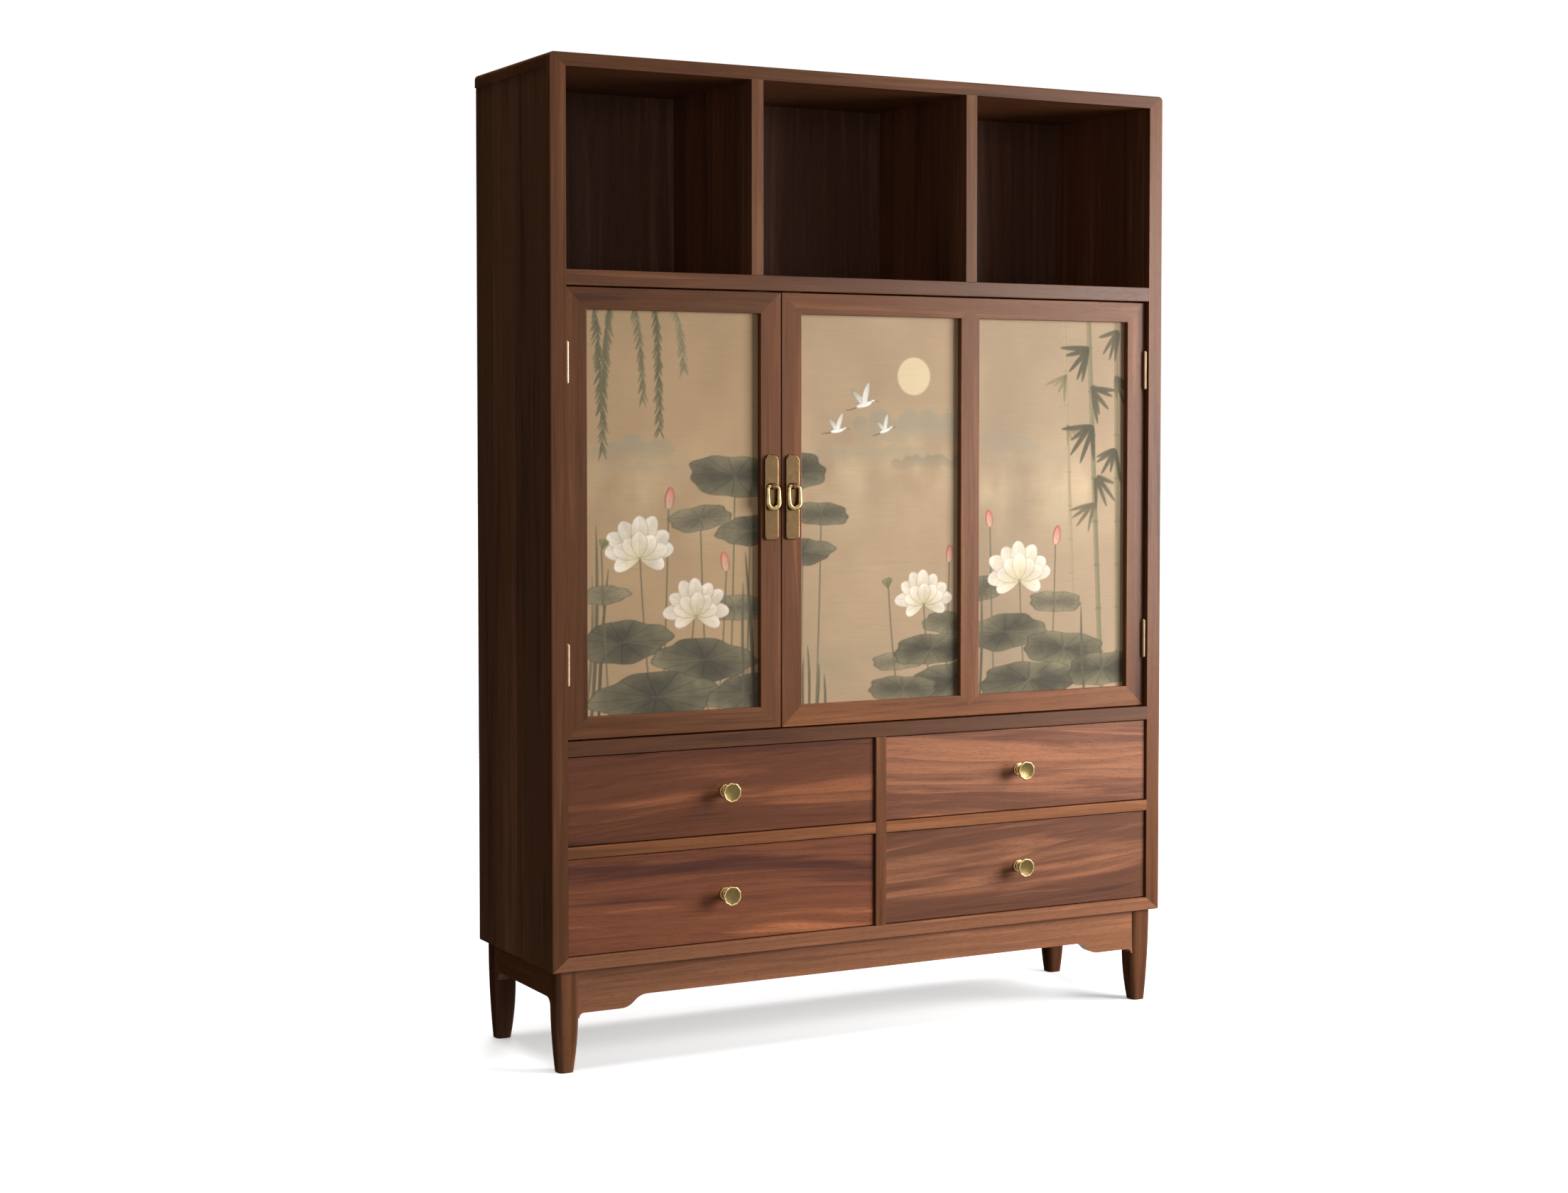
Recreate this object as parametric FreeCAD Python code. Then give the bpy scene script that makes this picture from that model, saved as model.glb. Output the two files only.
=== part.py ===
import FreeCAD, Part
import math
import os

# A standing display cabinet in solid walnut: three open bays over two framed doors and four drawers.
# Millimetres. +X is the cabinet's right, -Y is its front, +Z is up, and the feet stand on Z = 0.

# Overall case
WIDTH = 1200.0
DEPTH = 325.0
HEIGHT = 1645.0
LEG_HEIGHT = 167.0

# Mitred face frame
STILE_WIDTH = 28.0
TOP_RAIL_HEIGHT = 22.0
BOTTOM_RAIL_HEIGHT = 23.0
FRAME_DEPTH = 16.0
FRAME_TOP_RADIUS = 8.0
FRAME_FOOT_RADIUS = 3.0
FRAME_ARRIS = 2.0

# Boards behind the frame
SIDE_SETBACK = 2.0
HOUSING = 6.0
BOARD_ARRIS = 1.0
SHELF_THICKNESS = 25.0
DIVIDER_THICKNESS = 22.5
FLOOR_THICKNESS = 24.0
BACK_THICKNESS = 9.0
BACK_INSET = 18.0
BACK_GROOVE = 8.0

# Display bays, measured from the top and from the left
BAY_HEIGHT = 323.0
LEFT_BAY_WIDTH = 333.5
MIDDLE_BAY_WIDTH = 397.0

# Inner shelf behind the doors
INNER_SHELF_HEIGHT = 360.0
INNER_SHELF_THICKNESS = 20.0
INNER_SHELF_SETBACK = 48.0
INNER_SHELF_GAP = 1.0
PIN_RADIUS = 3.5
PIN_IN_BOARD = 10.0
PIN_UNDER_SHELF = 12.0
PIN_FROM_SHELF_EDGE = 40.0

# Doors
LEFT_DOOR_WIDTH = 391.7
DOOR_GAP = 2.0
DOOR_RECESS = 10.0
DOOR_THICKNESS = 22.0
DOOR_STILE = 38.0
DOOR_RAIL = 36.0
DOOR_ARRIS = 1.2
PANEL_RECESS = 11.0
PANEL_THICKNESS = 6.0
PANEL_GROOVE = 8.0
PANEL_SLACK = 0.6
DOOR_TENON = 22.0
TENON_SHOULDER = 7.0

# Butt hinges
HINGE_LENGTH = 66.0
HINGE_FROM_DOOR_END = 122.0
BARREL_RADIUS = 3.1
BARREL_CLEARANCE = 0.5
HINGE_PIN_RADIUS = 1.4
HINGE_RUNNING_FIT = 0.06
KNUCKLE_GAP = 0.3
PIN_HEAD_LENGTH = 2.0
LEAF_THICKNESS = 1.8
CASE_LEAF_WIDTH = 24.0
DOOR_LEAF_WIDTH = 18.0
KNUCKLE_TAB = 2.4

# Magnetic catches
CATCH_WIDTH = 36.0
CATCH_DEPTH = 14.0
CATCH_HEIGHT = 12.0
CATCH_FROM_MEETING = 14.0
CATCH_CLEARANCE = 1.5

# Handle plates and ring pulls
PLATE_WIDTH = 26.0
PLATE_HEIGHT = 143.0
PLATE_THICKNESS = 5.0
PLATE_TOP_CORNER = 11.0
PLATE_FOOT_CORNER = 6.0
PLATE_ARRIS = 2.0
HANDLE_RISE = 22.5
PLATE_STUD_RADIUS = 2.0
PLATE_STUD_LENGTH = 8.0
PLATE_STUD_SPACING = 90.0
RING_WIDTH = 27.0
RING_HEIGHT = 43.0
RING_WIRE_RADIUS = 3.0
RING_TOP_BAR = 9.0
RING_CLEARANCE = 1.2
RING_RUNNING_FIT = 0.08
EYE_WIDTH = 7.0
EYE_WALL = 2.2

# Drawers
UPPER_DRAWER_HEIGHT = 147.0
LOWER_DRAWER_HEIGHT = 160.0
DRAWER_RAIL_HEIGHT = 19.0
DRAWER_RAIL_DEPTH = 60.0
DRAWER_RAIL_TENON_MARGIN = 4.0
DRAWER_DIVIDER_THICKNESS = 21.0
LEFT_DRAWER_WIDTH = 573.5
RUNNER_WIDTH = 20.0
DRAWER_RECESS = 5.0
DRAWER_GAP = 1.5
DRAWER_FRONT_THICKNESS = 18.0
DRAWER_ARRIS = 1.2
BOX_WALL = 12.0
BOX_SIDE_CLEARANCE = 2.0
BOX_RIDE_CLEARANCE = 0.3
BOX_TOP_CLEARANCE = 12.0
BOX_BACK_CLEARANCE = 0.5
BOX_LAP = 6.0
BOX_BOTTOM_THICKNESS = 6.0
BOX_BOTTOM_RISE = 8.0
BOX_BOTTOM_GROOVE = 5.0
BOX_BOTTOM_SLACK = 0.5

# Knobs, turned about their own axis
KNOB_PROJECTION = 27.0
KNOB_RADIUS = 16.5
KNOB_RIM = 3.0
KNOB_RIM_CHAMFER = 2.0
KNOB_DISH = 2.5
KNOB_FLARE = 9.0
KNOB_NECK_RADIUS = 6.0
KNOB_ROSE_RADIUS = 11.0
KNOB_ROSE_THICKNESS = 2.5
KNOB_STUD_RADIUS = 2.5
KNOB_STUD_LENGTH = 12.0

# Base
LEG_TOP = 40.0
LEG_FOOT = 27.0
LEG_OUTER_TAPER = 6.0
LEG_BELLY = 3.0
LEG_SQUARE_HEIGHT = 70.0
LEG_CORNER_RADIUS = 9.0
LEG_INSET_X = 12.0
LEG_INSET_Y = 8.0
APRON_THICKNESS = 20.0
APRON_SETBACK = 4.0
REAR_APRON_SETBACK = 18.0
APRON_HEIGHT = 51.0
APRON_DROP = 20.0
APRON_DROP_FLAT = 75.0
APRON_SWEEP = 47.0
APRON_LEG_FILLET = 8.0
SIDE_APRON_HEIGHT = 49.0
SIDE_APRON_FILLET = 15.0
APRON_TENON_LENGTH = 15.0
APRON_TENON_THICKNESS = 8.0
APRON_TENON_SHOULDER = 7.0
BASE_SCREW_RADIUS = 2.5
BASE_SCREW_HEAD_RADIUS = 4.5
BASE_SCREW_BITE = 36.0
BASE_SCREW_FROM_BOARD_EDGE = 9.0
BASE_SCREW_SPACING = 267.0

# Planes worked out from the sizes above
KNOB_OVERHANG = KNOB_PROJECTION - DRAWER_RECESS
LEFT = -WIDTH / 2
RIGHT = WIDTH / 2
FRONT = -(DEPTH - KNOB_OVERHANG) / 2
BACK = FRONT + DEPTH
FRAME_BACK = FRONT + FRAME_DEPTH
BACK_PANEL_FRONT = BACK - BACK_INSET - BACK_THICKNESS
INNER_LEFT = LEFT + STILE_WIDTH
INNER_RIGHT = RIGHT - STILE_WIDTH
CASE_BOTTOM = LEG_HEIGHT
BOTTOM_TOP = CASE_BOTTOM + BOTTOM_RAIL_HEIGHT
TOP_UNDERSIDE = HEIGHT - TOP_RAIL_HEIGHT
SHELF_TOP = TOP_UNDERSIDE - BAY_HEIGHT
SHELF_UNDERSIDE = SHELF_TOP - SHELF_THICKNESS
DOOR_FACE = FRONT + DOOR_RECESS
DRAWER_FACE = FRONT + DRAWER_RECESS
DRAWER_DIVIDER_LEFT = INNER_LEFT + LEFT_DRAWER_WIDTH
DRAWER_DIVIDER_RIGHT = DRAWER_DIVIDER_LEFT + DRAWER_DIVIDER_THICKNESS
RAIL_UNDERSIDE = BOTTOM_TOP + LOWER_DRAWER_HEIGHT
RAIL_TOP = RAIL_UNDERSIDE + DRAWER_RAIL_HEIGHT
FLOOR_UNDERSIDE = RAIL_TOP + UPPER_DRAWER_HEIGHT
FLOOR_TOP = FLOOR_UNDERSIDE + FLOOR_THICKNESS
DOOR_BOTTOM = FLOOR_TOP + DOOR_GAP
DOOR_TOP = SHELF_UNDERSIDE - DOOR_GAP
LEFT_DOOR_LEFT = INNER_LEFT + DOOR_GAP
LEFT_DOOR_RIGHT = LEFT_DOOR_LEFT + LEFT_DOOR_WIDTH
RIGHT_DOOR_LEFT = LEFT_DOOR_RIGHT + DOOR_GAP
RIGHT_DOOR_RIGHT = INNER_RIGHT - DOOR_GAP
HANDLE_HEIGHT = (DOOR_BOTTOM + DOOR_TOP) / 2 + HANDLE_RISE
HINGE_HEIGHTS = (DOOR_BOTTOM + HINGE_FROM_DOOR_END, DOOR_TOP - HINGE_FROM_DOOR_END)
BARREL_OFFSET = BARREL_RADIUS + BARREL_CLEARANCE
TOUCH = 1e-4

X_AXIS = FreeCAD.Vector(1, 0, 0)
Y_AXIS = FreeCAD.Vector(0, 1, 0)
Z_AXIS = FreeCAD.Vector(0, 0, 1)


def point(x, y, z):
    return FreeCAD.Vector(x, y, z)


def block(x_range, y_range, z_range):
    """A box between two values on each axis, given in either order."""
    x0, x1 = sorted(x_range)
    y0, y1 = sorted(y_range)
    z0, z1 = sorted(z_range)
    return Part.makeBox(x1 - x0, y1 - y0, z1 - z0, point(x0, y0, z0))


def rod(radius, length, start, axis):
    return Part.makeCylinder(radius, length, start, axis)


def prism(edges, depth):
    """A closed outline of edges, pushed along the vector depth."""
    return Part.Face(Part.Wire(edges)).extrude(depth)


def line(start, end):
    return Part.LineSegment(start, end).toShape()


def flat_shape(corners, y, depth):
    """A straight-sided shape with its (x, z) corners in the plane Y = y, pushed back by depth."""
    points = [point(x, y, z) for x, z in corners]
    sides = [line(points[i - 1], points[i]) for i in range(len(points))]
    return prism(sides, Y_AXIS * depth)


def arc(start, middle, end):
    return Part.Arc(start, middle, end).toShape()


def ease_front(shape, y, axis, radius):
    """Round the edges that lie in the plane Y = y and run along the given axis."""
    chosen = []
    for edge in shape.Edges:
        ends = [vertex.Point for vertex in edge.Vertexes]
        in_plane = all(abs(end.y - y) < TOUCH for end in ends)
        if in_plane and len(ends) == 2 and abs((ends[1] - ends[0]).normalize().dot(axis)) > 1 - TOUCH:
            chosen.append(edge)
    return shape.makeFillet(radius, chosen)


def save(name, shape):
    shape.exportStep("parts/" + name + ".step")


def face_frame():
    """Two stiles and two rails: one moulded ring, cut apart along its mitres."""
    outer = block((LEFT, RIGHT), (FRONT, FRAME_BACK), (CASE_BOTTOM, HEIGHT))
    for z, radius in ((HEIGHT, FRAME_TOP_RADIUS), (CASE_BOTTOM, FRAME_FOOT_RADIUS)):
        corners = [edge for edge in outer.Edges
                   if edge.BoundBox.YLength > FRAME_DEPTH / 2 and abs(edge.BoundBox.Center.z - z) < TOUCH]
        outer = outer.makeFillet(radius, corners)
    opening = block((INNER_LEFT, INNER_RIGHT), (FRONT, FRAME_BACK), (BOTTOM_TOP, TOP_UNDERSIDE))
    ring = outer.cut(opening)
    front_outline = [
        edge for edge in ring.Edges
        if all(abs(vertex.Y - FRONT) < TOUCH for vertex in edge.Vertexes)
        and (abs(edge.BoundBox.Center.x) > WIDTH / 2 - STILE_WIDTH / 2
             or edge.BoundBox.Center.z > HEIGHT - TOP_RAIL_HEIGHT / 2
             or edge.BoundBox.Center.z < CASE_BOTTOM + BOTTOM_RAIL_HEIGHT / 2)
    ]
    ring = ring.makeFillet(FRAME_ARRIS, front_outline)
    outside = [(LEFT, CASE_BOTTOM), (RIGHT, CASE_BOTTOM), (RIGHT, HEIGHT), (LEFT, HEIGHT)]
    inside = [(INNER_LEFT, BOTTOM_TOP), (INNER_RIGHT, BOTTOM_TOP),
              (INNER_RIGHT, TOP_UNDERSIDE), (INNER_LEFT, TOP_UNDERSIDE)]
    names = ("bottom_front_rail", "front_right_stile", "top_front_rail", "front_left_stile")
    pieces = {}
    for index, name in enumerate(names):
        following = (index + 1) % len(names)
        outline = [outside[index], outside[following], inside[following], inside[index]]
        pieces[name] = ring.common(flat_shape(outline, FRONT, FRAME_DEPTH))
    return pieces


def across_board(z_low, z_high):
    """A full-width board with its nose between the stiles and its ends housed in the sides."""
    nose = block((INNER_LEFT, INNER_RIGHT), (FRONT, FRAME_BACK), (z_low, z_high))
    nose = ease_front(nose, FRONT, X_AXIS, BOARD_ARRIS)
    body = block((INNER_LEFT - HOUSING, INNER_RIGHT + HOUSING), (FRAME_BACK, BACK_PANEL_FRONT),
                 (z_low, z_high))
    return nose.fuse(body).removeSplitter()


def upright_board(x_low, x_high, z_low, z_high):
    """A divider that stands between two boards, with a tongue housed in each of them."""
    nose = block((x_low, x_high), (FRONT, FRAME_BACK), (z_low, z_high))
    nose = ease_front(nose, FRONT, Z_AXIS, BOARD_ARRIS)
    body = block((x_low, x_high), (FRAME_BACK, BACK_PANEL_FRONT), (z_low - HOUSING, z_high + HOUSING))
    return nose.fuse(body).removeSplitter()


def leg(outer_x, outer_y):
    """A leg, square above and tapering below. Its outer faces meet at the corner given."""
    toward_x = math.copysign(1, -outer_x)
    toward_y = math.copysign(1, -outer_y)
    knee = LEG_HEIGHT - LEG_SQUARE_HEIGHT
    foot_inner = LEG_OUTER_TAPER + LEG_FOOT
    inner_sag = (LEG_TOP - foot_inner) / 4

    def outline(place):
        return [
            line(place(0, LEG_HEIGHT), place(LEG_TOP, LEG_HEIGHT)),
            line(place(LEG_TOP, LEG_HEIGHT), place(LEG_TOP, knee)),
            arc(place(LEG_TOP, knee), place(LEG_TOP - inner_sag, knee / 2), place(foot_inner, 0)),
            line(place(foot_inner, 0), place(LEG_OUTER_TAPER, 0)),
            arc(place(LEG_OUTER_TAPER, 0),
                place(LEG_OUTER_TAPER / 2 - LEG_BELLY / 2, LEG_HEIGHT / 2), place(0, LEG_HEIGHT)),
        ]

    side_view = prism(outline(lambda u, z: point(outer_x + toward_x * u, outer_y, z)),
                      Y_AXIS * toward_y * LEG_TOP)
    end_view = prism(outline(lambda u, z: point(outer_x, outer_y + toward_y * u, z)),
                     X_AXIS * toward_x * LEG_TOP)
    body = side_view.common(end_view)
    corners = [edge for edge in body.Edges if edge.BoundBox.ZLength > LEG_TOP / 2]
    return body.makeFillet(LEG_CORNER_RADIUS, corners)


def sweep_edges(start, end, place):
    """Two equal tangent arcs that make a level ogee from start to end, both (along, height)."""
    run = end[0] - start[0]
    rise = end[1] - start[1]
    radius = (run * run + rise * rise) / (4 * abs(rise))
    half_angle = math.asin(abs(run) / 2 / radius) / 2
    step_along = math.copysign(radius * math.sin(half_angle), run)
    step_up = math.copysign(radius * (1 - math.cos(half_angle)), rise)
    middle = (start[0] + run / 2, start[1] + rise / 2)
    first = arc(place(*start), place(start[0] + step_along, start[1] + step_up), place(*middle))
    second = arc(place(*middle), place(end[0] - step_along, end[1] - step_up), place(*end))
    return [first, second]


def quarter(start, end, centre, place):
    """A quarter circle from start to end about centre, all (along, height)."""
    radius = math.dist(start, centre)
    way = ((start[0] + end[0]) / 2 - centre[0], (start[1] + end[1]) / 2 - centre[1])
    scale = radius / math.hypot(*way)
    return arc(place(*start), place(centre[0] + way[0] * scale, centre[1] + way[1] * scale), place(*end))


def leg_fillet(face_reach, low, fillet, side, place):
    """The quarter circle between an apron's lower edge and the leg face on one side."""
    centre = (side * (face_reach - fillet), low - fillet)
    on_leg = (side * face_reach, low - fillet)
    on_edge = (side * (face_reach - fillet), low)
    start, end = (on_leg, on_edge) if side > 0 else (on_edge, on_leg)
    return quarter(start, end, centre, place)


def plain_apron(reach, face_reach, height, fillet, place, thickness):
    """A straight apron from -reach to reach, with a fillet against the leg faces at face_reach."""
    low = LEG_HEIGHT - height
    edges = [
        line(place(-reach, LEG_HEIGHT), place(reach, LEG_HEIGHT)),
        line(place(reach, LEG_HEIGHT), place(reach, low - fillet)),
        line(place(reach, low - fillet), place(face_reach, low - fillet)),
        leg_fillet(face_reach, low, fillet, 1, place),
        line(place(face_reach - fillet, low), place(fillet - face_reach, low)),
        leg_fillet(face_reach, low, fillet, -1, place),
        line(place(-face_reach, low - fillet), place(-reach, low - fillet)),
        line(place(-reach, low - fillet), place(-reach, LEG_HEIGHT)),
    ]
    return prism(edges, thickness)


def shaped_apron(reach, face_reach, place, thickness):
    """The front apron: a drop beside each leg that sweeps up to a long straight edge."""
    high = LEG_HEIGHT - APRON_HEIGHT
    low = high - APRON_DROP
    fillet = APRON_LEG_FILLET
    drop_end = face_reach - APRON_DROP_FLAT
    sweep_end = drop_end - APRON_SWEEP
    edges = [
        line(place(-reach, LEG_HEIGHT), place(reach, LEG_HEIGHT)),
        line(place(reach, LEG_HEIGHT), place(reach, low - fillet)),
        line(place(reach, low - fillet), place(face_reach, low - fillet)),
        leg_fillet(face_reach, low, fillet, 1, place),
        line(place(face_reach - fillet, low), place(drop_end, low)),
    ]
    edges += sweep_edges((drop_end, low), (sweep_end, high), place)
    edges.append(line(place(sweep_end, high), place(-sweep_end, high)))
    edges += sweep_edges((-sweep_end, high), (-drop_end, low), place)
    edges += [
        line(place(-drop_end, low), place(fillet - face_reach, low)),
        leg_fillet(face_reach, low, fillet, -1, place),
        line(place(-face_reach, low - fillet), place(-reach, low - fillet)),
        line(place(-reach, low - fillet), place(-reach, LEG_HEIGHT)),
    ]
    return prism(edges, thickness)


def base_frame():
    """Four legs and four aprons, each apron coped to its legs and tenoned into them."""
    leg_x = WIDTH / 2 - LEG_INSET_X
    leg_front = FRONT + LEG_INSET_Y
    leg_back = BACK - LEG_INSET_Y
    middle_y = (leg_front + leg_back) / 2
    legs = {}
    for side, sign in (("left", -1), ("right", 1)):
        front_leg = leg(sign * leg_x, leg_front - middle_y)
        rear_leg = leg(sign * leg_x, leg_back - middle_y)
        legs["front_%s_leg" % side] = front_leg.translated(point(0, middle_y, 0))
        legs["rear_%s_leg" % side] = rear_leg.translated(point(0, middle_y, 0))

    face_x = leg_x - LEG_TOP
    reach_x = leg_x - LEG_TOP / 2
    face_y = (leg_back - leg_front) / 2 - LEG_TOP
    reach_y = face_y + LEG_TOP / 2
    tenon_top = LEG_HEIGHT - APRON_TENON_SHOULDER
    tenon_low = LEG_HEIGHT - min(APRON_HEIGHT, SIDE_APRON_HEIGHT) + APRON_TENON_SHOULDER
    tenon_inset = (APRON_THICKNESS - APRON_TENON_THICKNESS) / 2
    aprons = {}
    tenons = {}

    front_y = leg_front + APRON_SETBACK
    rear_y = leg_back - REAR_APRON_SETBACK - APRON_THICKNESS
    aprons["front_apron"] = shaped_apron(
        reach_x, face_x, lambda along, z: point(along, front_y, z), Y_AXIS * APRON_THICKNESS)
    aprons["rear_apron"] = plain_apron(
        reach_x, face_x, APRON_HEIGHT, APRON_LEG_FILLET,
        lambda along, z: point(along, rear_y, z), Y_AXIS * APRON_THICKNESS)
    for name, start_y in (("front_apron", front_y), ("rear_apron", rear_y)):
        tenons[name] = [
            block((sign * face_x, sign * (face_x + APRON_TENON_LENGTH)),
                  (start_y + tenon_inset, start_y + APRON_THICKNESS - tenon_inset), (tenon_low, tenon_top))
            for sign in (-1, 1)
        ]
    for side, sign in (("left", -1), ("right", 1)):
        name = side + "_apron"
        outer_x = sign * (leg_x - APRON_SETBACK)
        inner_x = outer_x - sign * APRON_THICKNESS
        start_x = min(outer_x, inner_x)
        aprons[name] = plain_apron(
            reach_y, face_y, SIDE_APRON_HEIGHT, SIDE_APRON_FILLET,
            lambda along, z: point(start_x, middle_y + along, z), X_AXIS * APRON_THICKNESS)
        tenons[name] = [
            block((start_x + tenon_inset, start_x + APRON_THICKNESS - tenon_inset),
                  (middle_y + end * face_y, middle_y + end * (face_y + APRON_TENON_LENGTH)),
                  (tenon_low, tenon_top))
            for end in (-1, 1)
        ]
    for name in aprons:
        shape = aprons[name].cut(list(legs.values()))
        aprons[name] = shape.fuse(tenons[name]).removeSplitter()
    for name in legs:
        legs[name] = legs[name].cut([tenon for pair in tenons.values() for tenon in pair])
    return legs, aprons


def base_screws():
    """Countersunk screws down through the bottom board into the front and rear aprons."""
    lines = (FRAME_BACK + BASE_SCREW_FROM_BOARD_EDGE,
             BACK - LEG_INSET_Y - REAR_APRON_SETBACK - APRON_THICKNESS / 2)
    head_depth = BASE_SCREW_HEAD_RADIUS - BASE_SCREW_RADIUS
    screws = []
    for y in lines:
        for step in (-1.5, -0.5, 0.5, 1.5):
            top = point(step * BASE_SCREW_SPACING, y, BOTTOM_TOP)
            shank = rod(BASE_SCREW_RADIUS, BOTTOM_RAIL_HEIGHT + BASE_SCREW_BITE, top, -Z_AXIS)
            head = Part.makeCone(BASE_SCREW_HEAD_RADIUS, BASE_SCREW_RADIUS, head_depth, top, -Z_AXIS)
            screws.append(shank.fuse(head).removeSplitter())
    return screws


def hinge(case_face, toward, height):
    """A three-knuckle butt hinge. toward is +1 where the door lies at +X of the case face."""
    axis_x = case_face + toward * BARREL_OFFSET
    axis_y = DOOR_FACE - BARREL_OFFSET
    low = height - HINGE_LENGTH / 2
    high = height + HINGE_LENGTH / 2
    knuckle = (HINGE_LENGTH - 2 * KNUCKLE_GAP) / 3
    starts = [low + i * (knuckle + KNUCKLE_GAP) for i in range(3)]
    spans = [(start, start + knuckle) for start in starts]
    barrels = [rod(BARREL_RADIUS, z1 - z0, point(axis_x, axis_y, z0), Z_AXIS) for z0, z1 in spans]

    pin = rod(HINGE_PIN_RADIUS, HINGE_LENGTH, point(axis_x, axis_y, low), Z_AXIS)
    for start, way in ((high, Z_AXIS), (low, -Z_AXIS)):
        pin = pin.fuse(Part.makeCone(BARREL_RADIUS, HINGE_PIN_RADIUS, PIN_HEAD_LENGTH,
                                     point(axis_x, axis_y, start), way))

    case_leaf = block((case_face, case_face - toward * LEAF_THICKNESS),
                      (axis_y - KNUCKLE_TAB / 2, axis_y + CASE_LEAF_WIDTH), (low, high))
    for index in (0, 2):
        tab = block((case_face - toward * LEAF_THICKNESS / 2, axis_x),
                    (axis_y - KNUCKLE_TAB / 2, axis_y + KNUCKLE_TAB / 2), spans[index])
        case_leaf = case_leaf.fuse([tab, barrels[index]])
    case_leaf = case_leaf.cut(rod(HINGE_PIN_RADIUS, HINGE_LENGTH, point(axis_x, axis_y, low), Z_AXIS))

    door_edge = case_face + toward * DOOR_GAP
    leaf_x = (door_edge, door_edge + toward * LEAF_THICKNESS)
    door_leaf = block(leaf_x, (DOOR_FACE, DOOR_FACE + DOOR_LEAF_WIDTH), (low, high))
    neck = block(leaf_x, (axis_y, DOOR_FACE), spans[1])
    door_leaf = door_leaf.fuse([neck, barrels[1]])
    door_leaf = door_leaf.cut(rod(HINGE_PIN_RADIUS + HINGE_RUNNING_FIT, HINGE_LENGTH,
                                  point(axis_x, axis_y, low), Z_AXIS))
    return case_leaf.removeSplitter(), pin.removeSplitter(), door_leaf.removeSplitter()


def door(x_low, x_high, muntin_count):
    """A framed door: mitred stiles and rails, muntins with pointed shoulders, and grooved-in panels."""
    y_back = DOOR_FACE + DOOR_THICKNESS
    door_y = (DOOR_FACE, y_back)
    groove_y = (DOOR_FACE + PANEL_RECESS, DOOR_FACE + PANEL_RECESS + PANEL_THICKNESS)
    sight_low = DOOR_BOTTOM + DOOR_RAIL
    sight_high = DOOR_TOP - DOOR_RAIL
    sight_left = x_low + DOOR_STILE
    sight_right = x_high - DOOR_STILE
    light = (sight_right - sight_left - muntin_count * DOOR_STILE) / (muntin_count + 1)

    def mitred(x_range, z_range, axis, outline):
        bar = ease_front(block(x_range, door_y, z_range), DOOR_FACE, axis, DOOR_ARRIS)
        return bar.common(flat_shape(outline, DOOR_FACE, DOOR_THICKNESS))

    full_height = (DOOR_BOTTOM, DOOR_TOP)
    stiles = []
    for outer, inner in ((x_low, sight_left), (x_high, sight_right)):
        outline = [(outer, DOOR_BOTTOM), (inner, sight_low), (inner, sight_high), (outer, DOOR_TOP)]
        stiles.append(mitred((outer, inner), full_height, Z_AXIS, outline))
    rails = []
    for outer, inner in ((DOOR_TOP, sight_high), (DOOR_BOTTOM, sight_low)):
        outline = [(x_low, outer), (sight_left, inner), (sight_right, inner), (x_high, outer)]
        rails.append(mitred((x_low, x_high), (outer, inner), X_AXIS, outline))
    rail_tenons = [
        block((sight_left - DOOR_TENON, sight_right + DOOR_TENON), groove_y, span)
        for span in ((sight_high + PANEL_GROOVE, DOOR_TOP - TENON_SHOULDER),
                     (DOOR_BOTTOM + TENON_SHOULDER, sight_low - PANEL_GROOVE))
    ]

    # A muntin's face runs to a point in each rail, and behind it a tenon enters the rail's groove.
    shoulder = DOOR_STILE / 2
    lights = []
    muntins = []
    muntin_faces = []
    muntin_tenons = []
    for index in range(muntin_count + 1):
        start = sight_left + index * (light + DOOR_STILE)
        lights.append((start, start + light))
        if index == 0:
            continue
        post_x = (start - DOOR_STILE, start)
        tip_x = start - shoulder
        bar = block(post_x, door_y, (sight_low - shoulder, sight_high + shoulder))
        bar = ease_front(bar, DOOR_FACE, Z_AXIS, DOOR_ARRIS)
        face = flat_shape([(post_x[0], sight_low), (tip_x, sight_low - shoulder), (post_x[1], sight_low),
                           (post_x[1], sight_high), (tip_x, sight_high + shoulder), (post_x[0], sight_high)],
                          DOOR_FACE, PANEL_RECESS)
        body = block(post_x, (DOOR_FACE + PANEL_RECESS, y_back), (sight_low, sight_high))
        muntins.append(bar.common(face.fuse(body)))
        muntin_faces.append(face)
        muntin_tenons.append(block((post_x[0] + PANEL_GROOVE, post_x[1] - PANEL_GROOVE), groove_y,
                                   (sight_low - PANEL_GROOVE, sight_high + PANEL_GROOVE)))

    reach = PANEL_GROOVE - PANEL_SLACK
    panels = [block((a - reach, b + reach), groove_y, (sight_low - reach, sight_high + reach))
              for a, b in lights]
    grooves = [block((a - PANEL_GROOVE, b + PANEL_GROOVE), groove_y,
                     (sight_low - PANEL_GROOVE, sight_high + PANEL_GROOVE)) for a, b in lights]
    stiles = [stile.cut(rail_tenons + grooves) for stile in stiles]
    rails = [rail.fuse(tenon).cut(grooves + muntin_faces + muntin_tenons).removeSplitter()
             for rail, tenon in zip(rails, rail_tenons)]
    muntins = [post.cut(grooves).fuse(tenon).removeSplitter() for post, tenon in zip(muntins, muntin_tenons)]
    return stiles, rails, muntins, panels


def ring_axis():
    """Where a ring turns: its distance in front of the plate and its height."""
    y = DOOR_FACE - PLATE_THICKNESS - RING_CLEARANCE - RING_WIRE_RADIUS
    z = HANDLE_HEIGHT + RING_HEIGHT / 2 - RING_WIRE_RADIUS
    return y, z


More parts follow.
